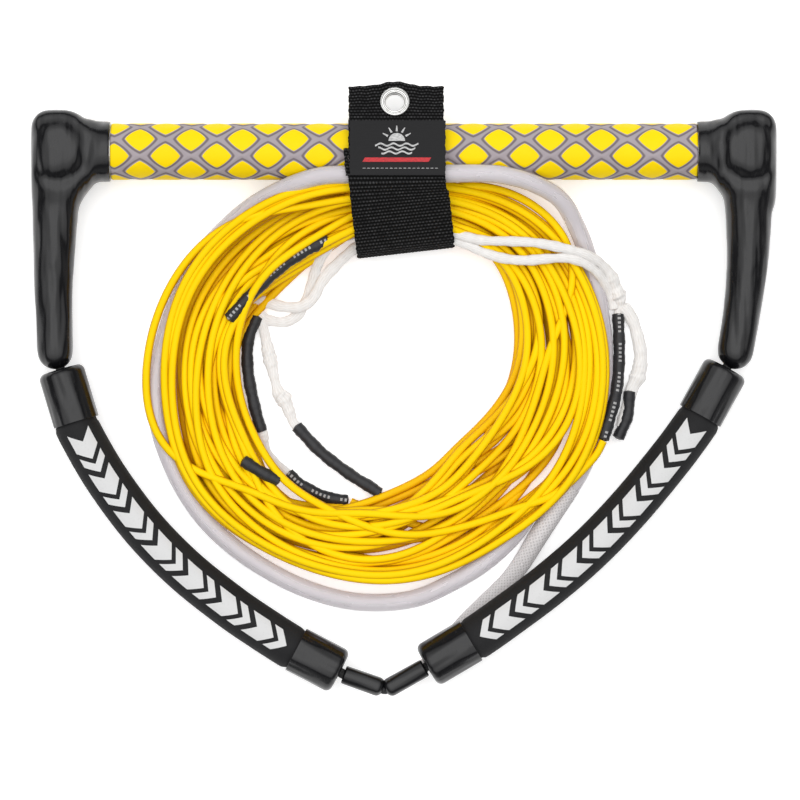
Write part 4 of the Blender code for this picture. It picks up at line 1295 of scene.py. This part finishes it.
LANE_DRIFT = (0.17, 0.16, 0.08, 0.05, 0.05, 0.08, 0.07, 0.10)


def coil_lanes(count, rng):
    """Where each point of the rope lies across the coil, from 0 inside to 1 outside. The lanes
    wander from turn to turn, most along the coil's lower right."""
    knots = (count // COIL_STATIONS + 2) * LANE_KNOTS
    lanes = np.empty(knots)
    value = 0.1
    for knot in range(knots):
        value = abs(value + rng.normal() * LANE_DRIFT[knot % LANE_KNOTS])
        value = 2 - value if value > 1 else value
        lanes[knot] = value
    for first in range(LANE_KNOTS):
        mine = lanes[first::LANE_KNOTS]
        lanes[first::LANE_KNOTS] = np.argsort(np.argsort(mine)) / (len(mine) - 1)
    places = np.arange(count) / COIL_STATIONS * LANE_KNOTS
    index = np.floor(places).astype(int)
    t = places - index
    before, start, end, after = (lanes[np.maximum(index + i, 0)] for i in (-1, 0, 1, 2))
    smooth = 0.5 * (
        2 * start
        + (end - before) * t
        + (2 * before - 5 * start + 4 * end - after) * t**2
        + (3 * start - before - 3 * end + after) * t**3
    )
    return np.clip(smooth, 0.0, 1.0)


def blurred(values, reach):
    """values smoothed along the rope with a bell of that many stations."""
    kernel = np.exp(-((np.arange(-3 * reach, 3 * reach + 1) / reach) ** 2) / 2)
    return np.convolve(np.pad(values, 3 * reach, mode="edge"), kernel / kernel.sum(), mode="valid")


def tube_stretches():
    """The clear tube as the coil meets it: for each pass of its route, degrees, radius and height."""
    route = smooth_line(JACKET_ROUTE, 3.0)
    x, y = route[:, 0] - COIL_CENTRE[0], route[:, 1] - COIL_CENTRE[1]
    angle = np.degrees(np.unwrap(np.arctan2(y, x)))
    return angle, np.hypot(x, y), route[:, 2]


def main_line():
    """The main line wound round the coil's centre, each turn laid on those before it."""
    rng = np.random.default_rng(SEED)
    start_radius, start_angle = polar(MAIN_START)
    end_radius, end_angle = polar(MAIN_END)
    per_turn = COIL_STATIONS
    step = 360.0 / per_turn
    count = int(((end_angle - start_angle) % 360.0 + 360.0 * MAIN_TURNS) / step) + 1
    angle = start_angle + np.arange(count) * step
    inner, outer = around(COIL_INNER, angle % 360.0), around(COIL_OUTER, angle % 360.0)
    floor_z = np.maximum(0.0, around(COIL_FLOOR, angle % 360.0))
    ceiling = around(COIL_CEILING, angle % 360.0)
    half = MAIN_DIAMETER / 2
    radius = inner + half + coil_lanes(count, rng) * (outer - inner - 2 * half)
    ends = smooth_step(np.arange(count), 0, 16), smooth_step(np.arange(count)[::-1], 0, 10)
    radius = radius * ends[0] + start_radius * (1 - ends[0])
    height, held = np.zeros(count), np.zeros(count)
    last_turn = math.floor((angle[-1] - 360.0) / 360.0) + 1
    for back, knots in STRAYS:
        degrees, target, rise = (np.array([knot[i] for knot in knots], float) for i in range(3))
        degrees = degrees + 360.0 * (last_turn - back)
        mine = (angle >= degrees[0]) & (angle <= degrees[-1])
        here = angle[mine]
        ease = smooth_step(np.minimum(here - degrees[0], degrees[-1] - here), 0.0, 14.0)
        if back == 0:
            ease = smooth_step(here - degrees[0], 0.0, 14.0)
        radius[mine] = radius[mine] * (1 - ease) + np.interp(here, degrees, target) * ease
        given = ~np.isnan(rise)
        near = np.interp(here, degrees, given.astype(float))
        height[mine] = np.interp(here, degrees[given], rise[given])
        held[mine] = smooth_step(near, 0.2, 0.9) * ease
    radius = blurred(radius, 3) * ends[1] + end_radius * (1 - ends[1])
    tube_angle, tube_radius, tube_z = tube_stretches()
    reach = (JACKET + MAIN_DIAMETER) / 2 - 0.4
    z = floor_z + half
    for first in range(0, count, per_turn):
        mine = np.arange(first, min(first + per_turn, count))
        best = z[mine].copy()
        for before in range(mine[0] % per_turn, first, per_turn):
            other = np.arange(before, before + len(mine))
            apart = np.abs(radius[mine] - radius[other])
            lift = STACKING * np.sqrt(np.clip(MAIN_DIAMETER**2 - apart**2, 0.0, None))
            best = np.where(apart < MAIN_DIAMETER, np.maximum(best, z[other] + lift), best)
        for turn in range(-1, 3):
            here = angle[mine] % 360.0 + 360.0 * turn
            within = (here > tube_angle.min()) & (here < tube_angle.max())
            order = np.argsort(tube_angle)
            apart = np.abs(radius[mine] - np.interp(here, tube_angle[order], tube_radius[order]))
            lift = np.interp(here, tube_angle[order], tube_z[order]) + np.sqrt(np.clip(reach**2 - apart**2, 0.0, None))
            best = np.where(within & (apart < reach), np.maximum(best, lift), best)
        best = best * (1 - held[mine]) + np.maximum(height[mine], 0.0) * held[mine]
        z[mine] = best
    soft = ceiling - half
    z = np.where(z > soft, soft + (z - soft) * 0.35, z)
    z = blurred(z, 3)
    z = z * ends[0] * ends[1] + MAIN_START[2] * (1 - ends[0]) + MAIN_END[2] * (1 - ends[1])
    x = COIL_CENTRE[0] + radius * np.cos(np.radians(angle))
    y = COIL_CENTRE[1] + radius * np.sin(np.radians(angle))
    return np.concatenate([[MAIN_START], np.stack([x, y, z], axis=1)[1:-1], [MAIN_END]])


def main_cord(look):
    points = even_line(main_line(), 2.5) * MM
    mesh = sweep("main_line", points, MAIN_DIAMETER * MM, sides=14)
    obj = add("main_line", mesh, look, "handle", ["main_line_coil"])


# Routes of the other stretches, as (x, y, z) in millimetres
JACKET_ROUTE = (
    (70.0, -74.5, 4.9),
    (79.5, -60.0, 4.8),
    (91.0, -42.5, 4.7),
    (99.0, -22.0, 4.7),
    (103.0, 2.0, 4.7),
    (103.0, 26.0, 4.7),
    (99.5, 50.0, 5.2),
    (94.6, 69.0, 7.6),
    (89.4, 82.5, 11.5),
    (80.5, 97.0, 20.5),
    (66.0, 105.3, 27.6),
    (50.0, 109.4, 31.1),
    (36.0, 110.2, 31.4),
    (20.0, 110.0, 31.4),
    (0.0, 110.0, 31.4),
    (-20.0, 109.6, 31.4),
    (-40.0, 109.2, 31.0),
    (-53.6, 105.9, 27.4),
    (-66.8, 100.6, 20.2),
    (-78.8, 93.8, 13.2),
    (-90.5, 84.4, 8.7),
    (-101.5, 73.0, 6.0),
    (-110.5, 59.5, 4.9),
    (-118.0, 43.0, 4.7),
    (-124.0, 24.0, 4.7),
    (-127.4, 4.0, 4.7),
    (-126.8, -17.0, 4.7),
    (-121.0, -36.0, 4.7),
    (-112.0, -54.0, 4.7),
    (-98.5, -71.5, 4.7),
    (-78.5, -88.0, 4.7),
    (-52.5, -102.0, 4.7),
    (-25.0, -109.4, 4.7),
    (3.0, -108.4, 4.7),
    (24.0, -100.0, 4.7),
    (42.0, -89.0, 4.7),
    (57.0, -75.0, 4.7),
    (67.0, -60.0, 4.7),
)
# The leader's flat braid swells over the clear tube's end
LEADER_ROUTE = (
    (86.5, -49.4, 4.75),
    (79.5, -60.0, 4.8),
    (70.0, -74.5, 4.9),
    (62.5, -87.0, 3.4),
    (55.5, -97.0, 2.0),
    (49.4, -103.5, 1.75),
    (41.7, -110.9, 1.75),
    (33.0, -119.5, 1.75),
    (24.5, -129.0, 1.75),
    (17.0, -136.4, 1.75),
    (10.0, -142.8, 2.2),
    (3.0, -147.3, 5.6),
    (-3.8, -150.8, 10.8),
)


def sleeve(name, route, look):
    """Shrunk sleeve: a little waisted along its length, with turned-in ends."""
    points = even_line(route, 0.8) * MM
    along = lengths(points)
    width = SLEEVE * (1.0 + 0.05 * np.sin(along / MM * 0.55) + 0.03 * np.sin(along / MM * 1.7 + 1.0)) * MM
    mesh = sweep(name, points, width, width * 0.94, sides=28, ends=0.8 * MM)
    return add(f"{name}_tube", mesh, look, "handle", [name])


def lumps(along, places):
    """Knots along a cord: extra width at each place, as (distance, size, half length)."""
    total = np.zeros_like(along)
    for place, size, half in places:
        total += size * MM * np.exp(-(((along / MM - place) / half) ** 2))
    return total


def white_cord(name, route, look, nodes, knots=(), width=LOOP, flat=0.62):
    """A soft hollow braid that lies flat, with its knots, along a route in millimetres."""
    points = even_line(route, 0.6) * MM
    along = lengths(points)
    extra = lumps(along, knots)
    rough = 1.0 + 0.06 * np.sin(along / MM * 0.31 + 0.7) + 0.04 * np.sin(along / MM * 0.83)
    breadth = width * MM * rough + extra
    thickness = width * flat * MM * rough + extra * 1.1

    def relief(turn, length):
        yarns = np.sin(9 * turn + length * 60.0) * np.sin(7 * turn - length * 45.0)
        knotty = np.interp(length, along, extra) * 0.20
        wraps = knotty * np.sin(length * 1500.0 + 2 * turn) * np.cos(turn - length * 400.0)
        return 0.10 * MM * yarns + wraps

    mesh = sweep(name, points, breadth, thickness, sides=28, relief=relief, ends=0.8 * MM)
    obj = add(name, mesh, look, "handle", nodes)
    return obj


def loops(look):
    """The take-off loops: each runs from its sleeve up under the strap and back to its throat."""
    white_cord(
        "loop_right",
        (
            (102.8, -25.6, 10.8), (109.2, -2.8, 8.0), (111.2, 17.2, 3.9), (110.7, 37.1, 3.6), (111.6, 44.5, 4.1),
            (109.4, 52.5, 6.4), (106.0, 60.0, 9.8), (100.0, 65.8, 14.0), (92.0, 69.8, 17.6), (81.2, 72.6, 19.4),
            (67.8, 75.2, 20.0), (54.4, 76.0, 19.4), (41.0, 76.4, 20.0), (32.9, 78.0, 19.8), (25.6, 80.2, 18.6),
            (18.5, 80.8, 16.6), (14.0, 79.0, 14.6), (18.5, 77.4, 14.6), (25.6, 76.9, 16.4), (33.0, 74.0, 18.6),
            (41.0, 70.2, 18.8), (51.7, 67.2, 18.4), (62.4, 66.2, 18.6), (73.2, 67.0, 19.0), (83.9, 67.4, 18.2),
            (92.0, 65.2, 16.6), (98.7, 60.8, 13.2), (104.0, 54.4, 8.6), (107.2, 47.0, 5.2), (108.6, 41.0, 4.6),
        ),
        look,
        ["eye_loop_right_upper", "eye_loop_right_lower"],
        knots=((76.0, 3.2, 4.2), (86.0, 1.4, 4.0)),
        width=5.0,
    )
    white_cord(
        "loop_left",
        (
            (-73.4, -22.3, 3.5), (-77.2, -8.0, 3.5), (-80.5, 10.0, 3.5), (-80.2, 26.0, 3.5), (-75.4, 38.0, 3.4),
            (-70.4, 36.0, 3.0), (-61.9, 34.8, 2.8), (-55.0, 38.3, 2.9), (-51.0, 45.0, 3.4), (-47.3, 54.5, 5.0),
            (-44.7, 63.5, 9.0), (-40.5, 71.5, 14.0), (-34.5, 76.8, 18.2), (-26.2, 79.6, 18.8), (-18.5, 79.6, 17.0),
            (-14.0, 77.4, 14.6), (-18.5, 75.4, 13.2), (-25.1, 72.6, 11.6), (-31.1, 67.8, 9.0), (-37.9, 61.0, 7.6),
            (-42.4, 55.2, 8.6), (-45.4, 49.4, 7.6), (-49.6, 44.6, 6.6), (-55.6, 42.4, 6.0), (-63.6, 43.0, 5.4),
            (-70.5, 45.0, 4.4), (-77.5, 47.0, 3.6), (-84.5, 48.5, 3.2),
        ),
        look,
        ["eye_loop_left_upper", "eye_loop_left_lower"],
        width=5.6,
        flat=0.45,
    )
    white_cord(
        "loop_outer",
        ((112.6, 43.0, 3.9), (116.6, 38.6, 3.2), (119.8, 31.0, 2.6), (122.3, 18.7, 2.6), (121.2, 8.0, 2.6),
         (117.8, 0.4, 2.8), (115.8, -8.0, 3.4), (112.4, -20.0, 3.5)),
        look,
        ["eye_loop_right_outer"],
        knots=((35.0, 1.8, 5.0), (40.0, 1.0, 2.4)),
        width=6.6,
    )
    white_cord(
        "inner_braid",
        ((-74.8, 38.0, 3.6), (-72.6, 32.0, 3.0), (-68.9, 15.1, 2.9), (-65.2, 0.0, 2.9), (-61.6, -5.6, 3.2),
         (-58.6, -12.6, 3.2), (-55.8, -18.5, 3.4), (-43.0, -32.1, 3.5), (-27.6, -43.9, 3.5), (-18.0, -49.8, 3.5)),
        look,
        ["braid_inner"],
        knots=((22.0, 2.0, 9.0), (44.5, 3.4, 4.2), (52.0, 1.6, 2.6)),
        width=5.0,
        flat=0.5,
    )
    white_cord(
        "lower_braid",
        ((-73.2, -20.0, 3.4), (-72.6, -26.5, 3.2), (-70.0, -33.0, 2.9), (-65.0, -39.0, 3.0), (-59.4, -43.6, 3.4),
         (-52.8, -49.4, 3.5), (-40.5, -55.4, 3.5), (-34.5, -56.7, 3.5)),
        look,
        ["braid_lower"],
        knots=((5.0, 1.8, 3.0),),
    )


def jacket(tube_look, core_look):
    """The handle section: a white braid in a clear tube, from the leader round the coil and back."""
    points = even_line(JACKET_ROUTE, 2.0) * MM
    tube = sweep("handle_section", points, JACKET * MM, sides=28, ends=1.0 * MM)
    core_points = points[3:-3]
    core = sweep("handle_section_core", core_points, 4.6 * MM, 4.0 * MM, sides=20, relief=braid_relief(0.3, 8, 900.0))
    core_obj = add("handle_section_core", core, core_look, "handle")
    obj = add("handle_section", tube, tube_look, "handle", ["handle_section_top", "handle_section_bottom"])


def leader(look):
    points = even_line(LEADER_ROUTE, 0.7) * MM
    along = lengths(points) / MM
    swell = 1.0 - smooth_step(along, 26.0, 58.0)
    narrow = smooth_step(along, along[-1] - 36.0, along[-1] - 12.0)
    mesh = sweep(
        "leader",
        points,
        (LEADER_WIDTH + 0.9 * swell) * (1.0 - 0.42 * narrow) * MM,
        (LEADER_THICKNESS + (JACKET + 0.9 - LEADER_THICKNESS) * swell + 1.2 * narrow) * MM,
        sides=44,
        relief=braid_relief(0.40, 14, 700.0),
        ends=0.5 * MM,
    )
    obj = add("leader", mesh, look, None, ["leader_braid"])
    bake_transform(obj)
    points[::-1].copy()


SLEEVE_ROUTES = {
    "sleeve_over_coil": ((-90.3, 35.7, 15.6), (-79.0, 48.0, 15.9), (-63.6, 62.4, 16.4), (-50.6, 71.0, 18.0),
                         (-38.0, 77.0, 19.6)),
    "sleeve_left": ((-75.4, 38.3, 3.5), (-80.2, 26.0, 3.5), (-80.5, 10.0, 3.5), (-77.2, -8.0, 3.5), (-73.4, -22.3, 3.5)),
    "sleeve_lower_left": ((-83.1, -36.2, 15.5), (-73.6, -42.2, 15.5), (-63.6, -47.2, 14.6)),
    "sleeve_length_mark": ((-60.2, -43.0, 3.5), (-52.8, -49.4, 3.5), (-40.5, -55.4, 3.5), (-28.5, -57.6, 3.5)),
    "sleeve_inner": ((-55.8, -18.5, 3.5), (-43.0, -32.1, 3.5), (-27.6, -43.9, 3.5), (-16.8, -50.6, 3.5),
                     (-12.0, -54.0, 3.5)),
    "sleeve_right": ((110.6, 39.6, 3.5), (111.2, 17.2, 3.9), (109.2, -2.8, 8.0), (102.6, -26.4, 11.0)),
    "sleeve_right_outer": ((116.6, -0.4, 3.5), (115.4, -13.5, 3.5), (110.4, -25.6, 3.5)),
}


MARKED_SLEEVES = ("sleeve_over_coil", "sleeve_length_mark", "sleeve_right")


def rope():
    sleeve_look, braid_look = shrink_sleeve(), white_braid()
    marked = shrink_sleeve("marked_sleeve", marked=True)
    for name, route in SLEEVE_ROUTES.items():
        sleeve(name, route, marked if name in MARKED_SLEEVES else sleeve_look)
    main_cord(yellow_rope())
    loops(braid_look)
    core = white_braid("jacket_core", (0.80, 0.76, 0.78), (0.45, 0.40, 0.42), 8.0, 0.6, 0.6)
    jacket(clear_tube(), core)
    leader(white_braid("leader_braid", (0.74, 0.71, 0.71), (0.38, 0.355, 0.355), 14.0, 0.9, 0.6))


# ---------------------------------------------------------------- everything together


def dress(node, material):
    """A better material on a CAD node that stays."""
    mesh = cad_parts[node].data
    mesh.materials.clear()
    mesh.materials.append(material)


def main():
    camera()
    studio()
    floor()
    rope()
    vinyl = black_vinyl()
    grip(grip_look())
    for side in SIDES:
        arm(side, vinyl)
    bridle(black_vinyl("cap_vinyl", "UV", (26.0, 150.0, 1.0), 0.0022), black_braid())
    web = webbing_look()
    strap_band(web)
    strap_front(web)
    strap_tab(web)
    grommet(nickel())
    label(satin(), thread_look("white_thread", (0.62, 0.62, 0.62), (0.30, 0.30, 0.30)),
          thread_look("red_thread", (0.62, 0.012, 0.022), (0.30, 0.004, 0.008)))
    dress("bar_tube", brushed_aluminium())
    plug = fastener_look("plug_foam", (0.03, 0.03, 0.03), 1400.0)
    for side in SIDES:
        dress(f"bar_end_plug_{side}", plug)
    dress("loop_field", fastener_look("loop_pile", (0.020, 0.020, 0.021), 1800.0))
    dress("hook_field", fastener_look("hook_pile", (0.030, 0.030, 0.031), 2600.0))


main()
